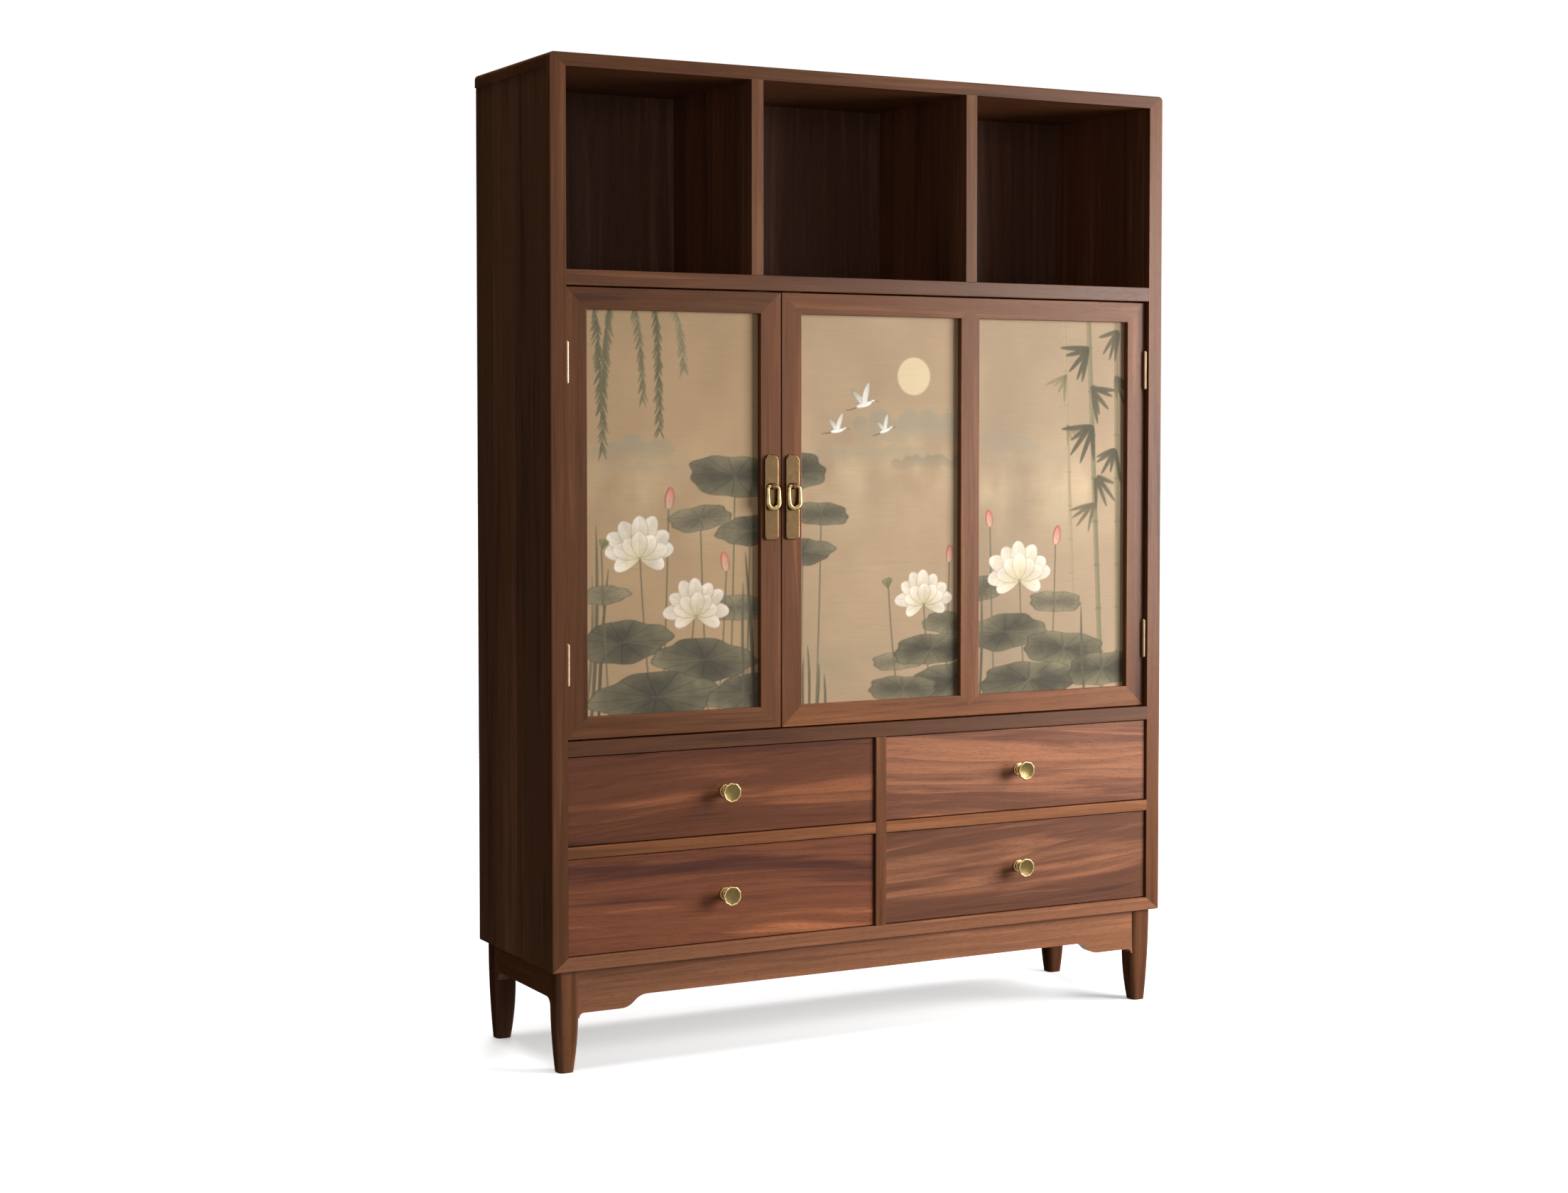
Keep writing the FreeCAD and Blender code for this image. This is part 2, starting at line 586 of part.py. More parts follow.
def handle_plate(x):
    """A rounded plate with two studs into the stile and a drilled eye that carries the ring."""
    face = DOOR_FACE - PLATE_THICKNESS
    plate = block((x - PLATE_WIDTH / 2, x + PLATE_WIDTH / 2), (face, DOOR_FACE),
                  (HANDLE_HEIGHT - PLATE_HEIGHT / 2, HANDLE_HEIGHT + PLATE_HEIGHT / 2))
    for radius, end in ((PLATE_TOP_CORNER, 1), (PLATE_FOOT_CORNER, -1)):
        corners = [edge for edge in plate.Edges
                   if edge.BoundBox.YLength > PLATE_THICKNESS / 2
                   and end * (edge.BoundBox.Center.z - HANDLE_HEIGHT) > 0]
        plate = plate.makeFillet(radius, corners)
    rim = [edge for edge in plate.Edges if all(abs(vertex.Y - face) < TOUCH for vertex in edge.Vertexes)]
    plate = plate.makeFillet(PLATE_ARRIS, rim)
    axis_y, axis_z = ring_axis()
    eye_radius = RING_WIRE_RADIUS + RING_RUNNING_FIT + EYE_WALL
    eye = rod(eye_radius, EYE_WIDTH, point(x - EYE_WIDTH / 2, axis_y, axis_z), X_AXIS)
    foot = block((x - EYE_WIDTH / 2, x + EYE_WIDTH / 2), (axis_y, face + PLATE_ARRIS),
                 (axis_z - eye_radius, axis_z + eye_radius))
    bore = rod(RING_WIRE_RADIUS + RING_RUNNING_FIT, EYE_WIDTH,
               point(x - EYE_WIDTH / 2, axis_y, axis_z), X_AXIS)
    studs = plate_studs(x)
    plate = plate.fuse([foot.fuse(eye)] + studs).cut(bore)
    return plate.removeSplitter()


def plate_studs(x):
    return [rod(PLATE_STUD_RADIUS, PLATE_STUD_LENGTH,
                point(x, DOOR_FACE, HANDLE_HEIGHT + end * PLATE_STUD_SPACING / 2), Y_AXIS) for end in (-1, 1)]


def ring_pull(x):
    """An oval ring of round wire: a bar through the eye, two shoulders, two sides and a half circle."""
    axis_y, axis_z = ring_axis()
    half_width = RING_WIDTH / 2 - RING_WIRE_RADIUS
    half_bar = RING_TOP_BAR / 2
    shoulder = half_width - half_bar
    drop = RING_HEIGHT - 2 * RING_WIRE_RADIUS
    side_low = axis_z - drop + half_width

    def wire_section(centre, normal):
        return Part.Face(Part.Wire(Part.Circle(centre, normal, RING_WIRE_RADIUS).toShape()))

    pieces = [rod(RING_WIRE_RADIUS, RING_TOP_BAR, point(x - half_bar, axis_y, axis_z), X_AXIS)]
    for side in (-1, 1):
        start = point(x + side * half_bar, axis_y, axis_z)
        centre = point(x + side * half_bar, axis_y, axis_z - shoulder)
        pieces.append(wire_section(start, X_AXIS).revolve(centre, Y_AXIS, side * 90))
        pieces.append(rod(RING_WIRE_RADIUS, axis_z - shoulder - side_low,
                          point(x + side * half_width, axis_y, side_low), Z_AXIS))
        pieces.append(wire_section(point(x + side * half_width, axis_y, side_low), Z_AXIS).revolve(
            point(x, axis_y, side_low), Y_AXIS, side * 90))
    return pieces[0].fuse(pieces[1:]).removeSplitter()


def knob(x, z):
    """A turned knob with a dished face, a flared neck, a rose and a stud into the drawer front."""
    flare_start = KNOB_PROJECTION - KNOB_RIM - KNOB_FLARE
    rim_start = KNOB_PROJECTION - KNOB_RIM
    face_radius = KNOB_RADIUS - KNOB_RIM_CHAMFER

    def at(radius, out):
        return point(x + radius, DRAWER_FACE - out, z)

    # The flare leaves the neck tangentially, and the dish is a shallow spherical cap.
    spread = KNOB_RADIUS - KNOB_NECK_RADIUS
    flare_radius = (spread ** 2 + KNOB_FLARE ** 2) / (2 * spread)
    flare_turn = (math.pi + math.atan2(KNOB_FLARE, spread - flare_radius)) / 2
    flare_middle = at(KNOB_NECK_RADIUS + flare_radius * (1 + math.cos(flare_turn)),
                      flare_start + flare_radius * math.sin(flare_turn))
    dish_radius = (face_radius ** 2 + KNOB_DISH ** 2) / (2 * KNOB_DISH)
    dish_turn = math.asin(face_radius / dish_radius) / 2
    dish_middle = at(dish_radius * math.sin(dish_turn),
                     KNOB_PROJECTION - KNOB_DISH + dish_radius * (1 - math.cos(dish_turn)))
    outline = [
        line(at(0, -KNOB_STUD_LENGTH), at(KNOB_STUD_RADIUS, -KNOB_STUD_LENGTH)),
        line(at(KNOB_STUD_RADIUS, -KNOB_STUD_LENGTH), at(KNOB_STUD_RADIUS, 0)),
        line(at(KNOB_STUD_RADIUS, 0), at(KNOB_ROSE_RADIUS, 0)),
        line(at(KNOB_ROSE_RADIUS, 0), at(KNOB_ROSE_RADIUS, KNOB_ROSE_THICKNESS / 2)),
        line(at(KNOB_ROSE_RADIUS, KNOB_ROSE_THICKNESS / 2), at(KNOB_NECK_RADIUS, KNOB_ROSE_THICKNESS)),
        line(at(KNOB_NECK_RADIUS, KNOB_ROSE_THICKNESS), at(KNOB_NECK_RADIUS, flare_start)),
        arc(at(KNOB_NECK_RADIUS, flare_start), flare_middle, at(KNOB_RADIUS, rim_start)),
        line(at(KNOB_RADIUS, rim_start), at(KNOB_RADIUS, KNOB_PROJECTION - KNOB_RIM_CHAMFER / 2)),
        line(at(KNOB_RADIUS, KNOB_PROJECTION - KNOB_RIM_CHAMFER / 2), at(face_radius, KNOB_PROJECTION)),
        arc(at(face_radius, KNOB_PROJECTION), dish_middle, at(0, KNOB_PROJECTION - KNOB_DISH)),
        line(at(0, KNOB_PROJECTION - KNOB_DISH), at(0, -KNOB_STUD_LENGTH)),
    ]
    return Part.Face(Part.Wire(outline)).revolve(point(x, DRAWER_FACE, z), Y_AXIS, 360)


def drawer(x_low, x_high, z_low, z_high):
    """A drawer for the opening given: its front, its box of four boards and its knob."""
    back_face = DRAWER_FACE + DRAWER_FRONT_THICKNESS
    middle_x = (x_low + x_high) / 2
    middle_z = (z_low + z_high) / 2
    front = block((x_low + DRAWER_GAP, x_high - DRAWER_GAP), (DRAWER_FACE, back_face),
                  (z_low + DRAWER_GAP, z_high - DRAWER_GAP))
    face_edges = [edge for edge in front.Edges
                  if all(abs(vertex.Y - DRAWER_FACE) < TOUCH for vertex in edge.Vertexes)]
    front = front.makeFillet(DRAWER_ARRIS, face_edges)

    box_low = z_low + BOX_RIDE_CLEARANCE
    side_low = z_low + DRAWER_GAP
    box_high = z_high - BOX_TOP_CLEARANCE
    box_back = BACK_PANEL_FRONT - BOX_BACK_CLEARANCE
    outer_left = x_low + BOX_SIDE_CLEARANCE
    outer_right = x_high - BOX_SIDE_CLEARANCE
    inner_left = outer_left + BOX_WALL
    inner_right = outer_right - BOX_WALL
    sides = []
    for span in ((outer_left, inner_left), (inner_right, outer_right)):
        body = block(span, (back_face, box_back), (box_low, box_high))
        lap = block(span, (back_face - BOX_LAP, back_face), (side_low, box_high))
        sides.append(body.fuse(lap).removeSplitter())
    back = block((inner_left, inner_right), (box_back - BOX_WALL, box_back), (box_low, box_high))
    bottom_z = (box_low + BOX_BOTTOM_RISE, box_low + BOX_BOTTOM_RISE + BOX_BOTTOM_THICKNESS)
    reach = BOX_BOTTOM_GROOVE - BOX_BOTTOM_SLACK
    bottom = block((inner_left - reach, inner_right + reach),
                   (back_face - reach, box_back - BOX_WALL + reach), bottom_z)
    groove = block((inner_left - BOX_BOTTOM_GROOVE, inner_right + BOX_BOTTOM_GROOVE),
                   (back_face - BOX_BOTTOM_GROOVE, box_back - BOX_WALL + BOX_BOTTOM_GROOVE), bottom_z)
    front = front.cut(sides).cut(groove)
    sides = [side.cut(groove) for side in sides]
    back = back.cut(groove)
    pull = knob(middle_x, middle_z)
    stud_hole = rod(KNOB_STUD_RADIUS, KNOB_STUD_LENGTH, point(middle_x, DRAWER_FACE, middle_z), Y_AXIS)
    return front.cut(stud_hole), Part.makeCompound(sides + [back, bottom]), pull


def build():
    os.makedirs("parts", exist_ok=True)
    nodes = face_frame()

    # Boards of the case, each with the tongues of its neighbours cut out of it
    side_inner = {"left": INNER_LEFT, "right": INNER_RIGHT}
    side_outer = {"left": LEFT + SIDE_SETBACK, "right": RIGHT - SIDE_SETBACK}
    shelf = across_board(SHELF_UNDERSIDE, SHELF_TOP)
    floor = across_board(FLOOR_UNDERSIDE, FLOOR_TOP)
    bottom = block((INNER_LEFT - HOUSING, INNER_RIGHT + HOUSING), (FRAME_BACK, BACK),
                   (CASE_BOTTOM, BOTTOM_TOP))
    top = block((LEFT, RIGHT), (FRAME_BACK, BACK), (TOP_UNDERSIDE, HEIGHT))
    ridge = [edge for edge in top.Edges
             if edge.BoundBox.YLength > DEPTH / 2 and edge.BoundBox.Center.z > HEIGHT - TOUCH]
    top = top.makeFillet(FRAME_TOP_RADIUS, ridge)
    first_divider = INNER_LEFT + LEFT_BAY_WIDTH
    second_divider = first_divider + DIVIDER_THICKNESS + MIDDLE_BAY_WIDTH
    dividers = [upright_board(x, x + DIVIDER_THICKNESS, SHELF_TOP, TOP_UNDERSIDE)
                for x in (first_divider, second_divider)]
    drawer_divider = upright_board(DRAWER_DIVIDER_LEFT, DRAWER_DIVIDER_RIGHT, BOTTOM_TOP, FLOOR_UNDERSIDE)

    panel_y = (BACK_PANEL_FRONT, BACK_PANEL_FRONT + BACK_THICKNESS)
    back_panel = block((INNER_LEFT - BACK_GROOVE, INNER_RIGHT + BACK_GROOVE), panel_y,
                       (BOTTOM_TOP - BACK_GROOVE, TOP_UNDERSIDE + BACK_GROOVE))

    # Rails and runners that part and carry the drawers
    rail_z = (RAIL_UNDERSIDE, RAIL_TOP)
    rail_back = FRONT + DRAWER_RAIL_DEPTH
    tenon_y = (FRAME_BACK + DRAWER_RAIL_TENON_MARGIN, rail_back - DRAWER_RAIL_TENON_MARGIN)
    drawer_spans = {"left": (INNER_LEFT, DRAWER_DIVIDER_LEFT), "right": (DRAWER_DIVIDER_RIGHT, INNER_RIGHT)}
    rails = []
    runners = []
    for x_low, x_high in drawer_spans.values():
        rail = ease_front(block((x_low, x_high), (FRONT, rail_back), rail_z), FRONT, X_AXIS, BOARD_ARRIS)
        tenon = block((x_low - HOUSING, x_high + HOUSING), tenon_y, rail_z)
        rails.append(rail.fuse(tenon).removeSplitter())
        for span in ((x_low, x_low + RUNNER_WIDTH), (x_high - RUNNER_WIDTH, x_high)):
            runners.append(block(span, (rail_back, BACK_PANEL_FRONT), rail_z))
    drawer_divider = drawer_divider.cut(rails)

    # Inner shelf on pins
    shelf_low = FLOOR_TOP + INNER_SHELF_HEIGHT
    shelf_y = (FRONT + INNER_SHELF_SETBACK, BACK_PANEL_FRONT - INNER_SHELF_GAP)
    inner_shelf = block((INNER_LEFT + INNER_SHELF_GAP, INNER_RIGHT - INNER_SHELF_GAP), shelf_y,
                        (shelf_low, shelf_low + INNER_SHELF_THICKNESS))
    inner_shelf = ease_front(inner_shelf, shelf_y[0], X_AXIS, BOARD_ARRIS)
    pins = []
    for y in (shelf_y[0] + PIN_FROM_SHELF_EDGE, shelf_y[1] - PIN_FROM_SHELF_EDGE):
        for face, inward in ((INNER_LEFT, 1), (INNER_RIGHT, -1)):
            start = point(face - inward * PIN_IN_BOARD, y, shelf_low - PIN_RADIUS)
            pins.append(rod(PIN_RADIUS, PIN_IN_BOARD + PIN_UNDER_SHELF, start, X_AXIS * inward))

    # Hinges, two to a door
    hinges = {"left": [], "right": []}
    for height in HINGE_HEIGHTS:
        hinges["left"].append(hinge(INNER_LEFT, 1, height))
        hinges["right"].append(hinge(INNER_RIGHT, -1, height))
    case_leaves = [parts[0] for pair in hinges.values() for parts in pair]
    hinge_pins = [parts[1] for pair in hinges.values() for parts in pair]

    housed = [shelf, floor, bottom, back_panel] + rails + pins + case_leaves
    for side in ("left", "right"):
        board = block((side_outer[side], side_inner[side]), (FRAME_BACK, BACK),
                      (CASE_BOTTOM, TOP_UNDERSIDE))
        nodes[side + "_side_board"] = board.cut(housed)
        nodes["front_%s_stile" % side] = nodes["front_%s_stile" % side].cut(case_leaves)

    # Base frame and the screws that hold the case to it
    legs, aprons = base_frame()
    screws = base_screws()
    for name in ("front_apron", "rear_apron"):
        aprons[name] = aprons[name].cut(screws)
    nodes.update(legs)
    nodes.update(aprons)

    # Catches under the display shelf, one behind each door's top rail
    catch_y = DOOR_FACE + DOOR_THICKNESS + CATCH_CLEARANCE
    meeting = (LEFT_DOOR_RIGHT + RIGHT_DOOR_LEFT) / 2
    catches = []
    for side in (-1, 1):
        near = meeting + side * CATCH_FROM_MEETING
        catches.append(block((near, near + side * CATCH_WIDTH), (catch_y, catch_y + CATCH_DEPTH),
                             (SHELF_UNDERSIDE - CATCH_HEIGHT, SHELF_UNDERSIDE)))

    nodes["display_shelf"] = shelf.cut(dividers)
    nodes["cupboard_floor"] = floor.cut(drawer_divider)
    nodes["bottom_board"] = bottom.cut([drawer_divider, back_panel] + screws)
    nodes["top_board"] = top.cut(dividers + [back_panel])
    nodes["left_bay_divider"] = dividers[0]
    nodes["right_bay_divider"] = dividers[1]
    nodes["drawer_divider"] = drawer_divider
    nodes["drawer_rails"] = Part.makeCompound(rails)
    nodes["drawer_runners"] = Part.makeCompound(runners)
    nodes["back_panel"] = back_panel
    nodes["inner_shelf"] = inner_shelf
    nodes["shelf_pins"] = Part.makeCompound(pins)
    nodes["door_catches"] = Part.makeCompound(catches)
    nodes["base_screws"] = Part.makeCompound(screws)
    nodes["case_hinge_leaves"] = Part.makeCompound(case_leaves)
    nodes["hinge_pins"] = Part.makeCompound(hinge_pins)

    # Doors with their hinge leaves, plates and rings
    door_spans = {"left": (LEFT_DOOR_LEFT, LEFT_DOOR_RIGHT, 0),
                  "right": (RIGHT_DOOR_LEFT, RIGHT_DOOR_RIGHT, 1)}
    for side, (x_low, x_high, muntin_count) in door_spans.items():
        stiles, rails_of_door, muntins, panels = door(x_low, x_high, muntin_count)
        leaves = [parts[2] for parts in hinges[side]]
        meeting_index = 1 if side == "left" else 0
        meeting_stile = stiles[meeting_index]
        plate_x = meeting_stile.BoundBox.Center.x
        nodes[side + "_door_meeting_stile"] = meeting_stile.cut(plate_studs(plate_x))
        nodes[side + "_door_hinge_stile"] = stiles[1 - meeting_index].cut(leaves)
        nodes[side + "_door_top_rail"] = rails_of_door[0]
        nodes[side + "_door_bottom_rail"] = rails_of_door[1]
        nodes[side + "_door_hinge_leaves"] = Part.makeCompound(leaves)
        nodes[side + "_handle_plate"] = handle_plate(plate_x)
        nodes[side + "_ring_pull"] = ring_pull(plate_x)
        if muntins:
            nodes[side + "_door_muntin"] = muntins[0]
            nodes[side + "_door_inner_panel"] = panels[0]
            nodes[side + "_door_outer_panel"] = panels[1]
        else:
            nodes[side + "_door_panel"] = panels[0]

    # Drawers, two over two
    drawer_levels = {"upper": (RAIL_TOP, FLOOR_UNDERSIDE), "lower": (BOTTOM_TOP, RAIL_UNDERSIDE)}
    for level, (z_low, z_high) in drawer_levels.items():
        for side, (x_low, x_high) in drawer_spans.items():
            front, box, pull = drawer(x_low, x_high, z_low, z_high)
            nodes["%s_%s_drawer_front" % (level, side)] = front
            nodes["%s_%s_drawer_box" % (level, side)] = box
            nodes["%s_%s_knob" % (level, side)] = pull

    for name, shape in nodes.items():
        save(name, shape)
        print(name, "solids", len(shape.Solids), "valid", shape.isValid(), "volume", round(shape.Volume, 1))
    print("nodes", len(nodes))


build()
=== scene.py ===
import math

import bpy
import numpy as np
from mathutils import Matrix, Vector


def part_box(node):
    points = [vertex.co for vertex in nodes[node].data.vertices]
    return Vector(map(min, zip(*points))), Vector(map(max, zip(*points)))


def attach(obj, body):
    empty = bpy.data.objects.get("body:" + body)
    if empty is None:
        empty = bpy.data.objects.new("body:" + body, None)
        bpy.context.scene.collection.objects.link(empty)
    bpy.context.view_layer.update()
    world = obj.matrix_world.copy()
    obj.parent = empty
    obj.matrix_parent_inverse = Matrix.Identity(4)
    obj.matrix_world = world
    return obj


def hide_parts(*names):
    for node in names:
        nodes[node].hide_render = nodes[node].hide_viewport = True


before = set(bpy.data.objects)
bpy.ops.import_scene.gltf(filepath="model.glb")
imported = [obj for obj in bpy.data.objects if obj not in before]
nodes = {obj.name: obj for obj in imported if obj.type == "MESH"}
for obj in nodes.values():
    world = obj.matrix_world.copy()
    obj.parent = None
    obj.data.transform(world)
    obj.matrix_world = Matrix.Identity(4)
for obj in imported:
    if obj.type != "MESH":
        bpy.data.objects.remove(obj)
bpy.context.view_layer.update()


# Legs and aprons: solid walnut, sawn to shape, tenoned together under the case and oiled to a satin sheen.
# The grain group below draws growth rings, bands, fibres and pores, and colours every wooden piece.
def new_group(name, inputs, outputs, kind="ShaderNodeTree"):
    """An empty node group whose sockets are listed as a label and a type."""
    tree = bpy.data.node_groups.new(name, kind)
    for way, sockets in (("INPUT", inputs), ("OUTPUT", outputs)):
        for label, socket_type in sockets.items():
            tree.interface.new_socket(label, in_out=way, socket_type="NodeSocket" + socket_type)
    start = tree.nodes.new("NodeGroupInput")
    end = tree.nodes.new("NodeGroupOutput")
    return tree, start.outputs, end


def connect(tree, node, inputs):
    """Gives each input of a node a value, or joins it to another node's output."""
    for key, value in inputs.items():
        if isinstance(value, bpy.types.NodeSocket):
            tree.links.new(value, node.inputs[key])
        else:
            node.inputs[key].default_value = value


def add(tree, kind, inputs, **settings):
    """A new node with its settings and inputs."""
    node = tree.nodes.new(kind)
    for key, value in settings.items():
        setattr(node, key, value)
    connect(tree, node, inputs)
    return node.outputs


def maths(tree, operation, *values):
    return add(tree, "ShaderNodeMath", dict(enumerate(values)), operation=operation)[0]


def vectors(tree, operation, *values):
    return add(tree, "ShaderNodeVectorMath", dict(enumerate(values)), operation=operation)[0]


def scaled(tree, vector, factor):
    return add(tree, "ShaderNodeVectorMath", {0: vector, "Scale": factor}, operation="SCALE")[0]


def step(tree, value, low, high, bottom=0.0, top=1.0):
    """A smooth step of value from bottom at low to top at high."""
    return add(tree, "ShaderNodeMapRange",
               {"Value": value, "From Min": low, "From Max": high, "To Min": bottom, "To Max": top},
               interpolation_type="SMOOTHSTEP")["Result"]


def mix(tree, factor, first, second):
    """A colour between first and second."""
    return add(tree, "ShaderNodeMix", {0: factor, 6: first, 7: second}, data_type="RGBA")[2]


def stretched_noise(tree, vector, along, scale, detail):
    """Noise drawn out along the grain, which runs in Z."""
    drawn = vectors(tree, "MULTIPLY", vector, (1.0, 1.0, along))
    return add(tree, "ShaderNodeTexNoise",
               {"Vector": drawn, "Scale": scale, "Detail": detail, "Roughness": 0.55})


# Each pattern in the wood: how far it is drawn out along the grain, how fine it is, and its detail
SWIRL = (0.16, 6.0, 2.0)
STREAKS = (0.045, 62.0, 4.0)
FIBRES = (0.02, 420.0, 2.0)
PORES = (0.05, 1500.0, 0.0)
BAND_STRETCH = 0.07
BAND_DETAIL = 3.0
RING_WAVER = 3.0
RING_SHARPNESS = 3.0
PORE_TINT = 0.35
PORE_ROUGHNESS = 0.15
PORE_DEPTH = -0.8


def make_grain():
    """Walnut whose heart stands on the Z axis."""
    tree, given, result = new_group(
        "walnut_grain",
        {"Vector": "Vector", "Light": "Color", "Middle": "Color", "Dark": "Color", "Ring Density": "Float",
         "Ring Strength": "Float", "Warp": "Float", "Band Scale": "Float", "Band Weight": "Float",
         "Tone": "Float"},
        {"Color": "Color", "Roughness": "Float", "Height": "Float"})
    swirl = stretched_noise(tree, given["Vector"], *SWIRL)["Color"]
    swirl = scaled(tree, vectors(tree, "SUBTRACT", swirl, (0.5, 0.5, 0.5)), given["Warp"])
    bent = vectors(tree, "ADD", given["Vector"], swirl)
    across = vectors(tree, "MULTIPLY", bent, (1.0, 1.0, 0.0))
    radius = add(tree, "ShaderNodeVectorMath", {0: across}, operation="LENGTH")["Value"]
    bands = stretched_noise(tree, bent, BAND_STRETCH, given["Band Scale"], BAND_DETAIL)["Fac"]
    streaks = stretched_noise(tree, bent, *STREAKS)["Fac"]
    fibres = stretched_noise(tree, bent, *FIBRES)["Fac"]
    pores = step(tree, stretched_noise(tree, bent, *PORES)["Fac"], 0.60, 0.70)

    # Growth rings darken slowly and end at a sharp line.
    rings = maths(tree, "MULTIPLY", radius, given["Ring Density"])
    rings = maths(tree, "FRACT", maths(tree, "MULTIPLY_ADD", bands, RING_WAVER, rings))
    rings = maths(tree, "POWER", rings, RING_SHARPNESS)
    rings = maths(tree, "MULTIPLY", rings, step(tree, streaks, 0.36, 0.60))
    rings = maths(tree, "MULTIPLY", rings, given["Ring Strength"])

    tone = maths(tree, "SUBTRACT", bands, streaks)
    tone = maths(tree, "MULTIPLY_ADD", tone, given["Band Weight"], streaks)
    wood = mix(tree, step(tree, tone, 0.34, 0.47), given["Dark"], given["Middle"])
    wood = mix(tree, step(tree, tone, 0.50, 0.64), wood, given["Light"])
    wood = mix(tree, rings, wood, given["Dark"])
    shade = maths(tree, "MULTIPLY", step(tree, fibres, 0.25, 0.75, 0.90, 1.09), given["Tone"])
    wood = mix(tree, maths(tree, "MULTIPLY", pores, PORE_TINT), scaled(tree, wood, shade), given["Dark"])
    rough = step(tree, fibres, 0.2, 0.8, 0.29, 0.37)
    rough = maths(tree, "MULTIPLY_ADD", pores, PORE_ROUGHNESS, rough)
    height = maths(tree, "MULTIPLY_ADD", pores, PORE_DEPTH, fibres)
    connect(tree, result, {"Color": wood, "Roughness": rough, "Height": height})
    return tree


grain = make_grain()
GRAIN_TURN = {"x": (0.0, math.pi / 2), "y": (math.pi / 2, 0.0), "z": (0.0, 0.0)}
WOOD_RELIEF = (0.12, 0.0004)
WALNUT = ((0.240, 0.092, 0.038), (0.155, 0.057, 0.022), (0.084, 0.030, 0.013))
BASE_WALNUT = ((0.240, 0.100, 0.050), (0.155, 0.063, 0.031), (0.084, 0.033, 0.017))


def new_material(name):
    """A material with its tree and its shader."""
    material = bpy.data.materials.new(name)
    material.use_nodes = True
    return material, material.node_tree, material.node_tree.nodes["Principled BSDF"]


def dress(tree, shader, look, relief, inputs):
    """Gives a shader the colour of a look, its relief as (strength, depth), and the other inputs."""
    strength, depth = relief
    bump = add(tree, "ShaderNodeBump", {"Height": look["Height"], "Strength": strength, "Distance": depth})
    connect(tree, shader, {"Base Color": look["Color"], "Normal": bump[0], **inputs})


def wood_material(name, along, pith, colours=WALNUT, tone=1.0, shine=0.12, tilt=(0.0, 0.0), stave=None,
                  rings=55.0, ring_strength=0.5, warp=0.03, band_scale=11.0, band_weight=0.45):
    """Oiled wood with its grain along one axis; pith is where the tree's heart lies beside the piece."""
    material, tree, shader = new_material(name)
    vector = add(tree, "ShaderNodeTexCoord", {})["Object"]
    if stave:
        boards = add(tree, "ShaderNodeGroup", {"Vector": vector, "Width": stave}, node_tree=staves)
        vector = boards["Vector"]
        tone = maths(tree, "MULTIPLY", boards["Tone"], tone)
    turn = (GRAIN_TURN[along][0] + tilt[0], GRAIN_TURN[along][1] + tilt[1], 0.0)
    vector = add(tree, "ShaderNodeMapping", {"Vector": vector, "Rotation": turn, "Location": pith})[0]
    light, middle, dark = [(*colour, 1.0) for colour in colours]
    look = add(tree, "ShaderNodeGroup",
               {"Vector": vector, "Light": light, "Middle": middle, "Dark": dark, "Ring Density": rings,
                "Ring Strength": ring_strength, "Warp": warp, "Band Scale": band_scale,
                "Band Weight": band_weight, "Tone": tone}, node_tree=grain)
    dress(tree, shader, look, WOOD_RELIEF, {"Roughness": look["Roughness"], "Specular IOR Level": shine})
    return material


def paint(material, *names):
    """Gives a material to the CAD nodes named."""
    for name in names:
        for place in nodes[name].material_slots:
            place.material = material


paint(wood_material("leg_walnut", "z", (0.29, 0.26, 1.0), tone=0.80), "front_left_leg", "front_right_leg")
# The rear legs take a much darker copy of the walnut: painted shade at the back of the stand.
paint(wood_material("painted_shade_rear_leg_walnut", "z", (0.25, 0.30, 3.0), tone=0.46, shine=0.06),
      "rear_left_leg", "rear_right_leg")
# The front and rear aprons take a lighter copy of the walnut than the side aprons: painted light low on the
# stand.
paint(wood_material("apron_walnut", "x", (0.33, 0.21, 3.0), BASE_WALNUT, tone=1.68, shine=0.14),
      "front_apron", "rear_apron")
paint(wood_material("side_apron_walnut", "y", (0.27, 0.33, 0.0)), "left_apron", "right_apron")


# Base screws: countersunk steel screws, plated with zinc.
# They are driven down through the bottom board and hold the case to the aprons.
def plain_material(name, inputs):
    """A material that is the same all over."""
    material, tree, shader = new_material(name)
    connect(tree, shader, inputs)
    return material


paint(plain_material("screw_steel", {"Base Color": (0.55, 0.55, 0.56, 1.0), "Metallic": 1.0,
                                     "Roughness": 0.35}), "base_screws")

# Case boards: walnut staves glued edge to edge into wide boards, housed into one another with tongues.
# The sides and dividers have upright grain, and the boards that lie flat have grain across.
BOARD_WALNUT = ((0.240, 0.103, 0.050), (0.155, 0.065, 0.030), (0.084, 0.035, 0.018))
STAVE_WIDTH = 0.098
STAVE_JUMP = 4.0
BOARD_WARP = 0.022


def make_staves():
    """Edge-glued staves, counted along Y: each shifts the grain and its tone, with a fine glue line."""
    tree, given, result = new_group("glued_staves", {"Vector": "Vector", "Width": "Float"},
                                    {"Vector": "Vector", "Tone": "Float"})
    depth = add(tree, "ShaderNodeSeparateXYZ", {0: given["Vector"]})["Y"]
    count = maths(tree, "DIVIDE", depth, given["Width"])
    chance = add(tree, "ShaderNodeTexWhiteNoise", {"W": maths(tree, "FLOOR", count)}, noise_dimensions="1D")
    moved = vectors(tree, "ADD", given["Vector"], scaled(tree, chance["Color"], STAVE_JUMP))
    tone = step(tree, chance["Value"], 0.0, 1.0, 0.78, 1.12)
    off_middle = maths(tree, "ABSOLUTE", maths(tree, "SUBTRACT", maths(tree, "FRACT", count), 0.5))
    seam = step(tree, off_middle, 0.488, 0.498, 1.0, 0.72)
    connect(tree, result, {"Vector": moved, "Tone": maths(tree, "MULTIPLY", tone, seam)})
    return tree


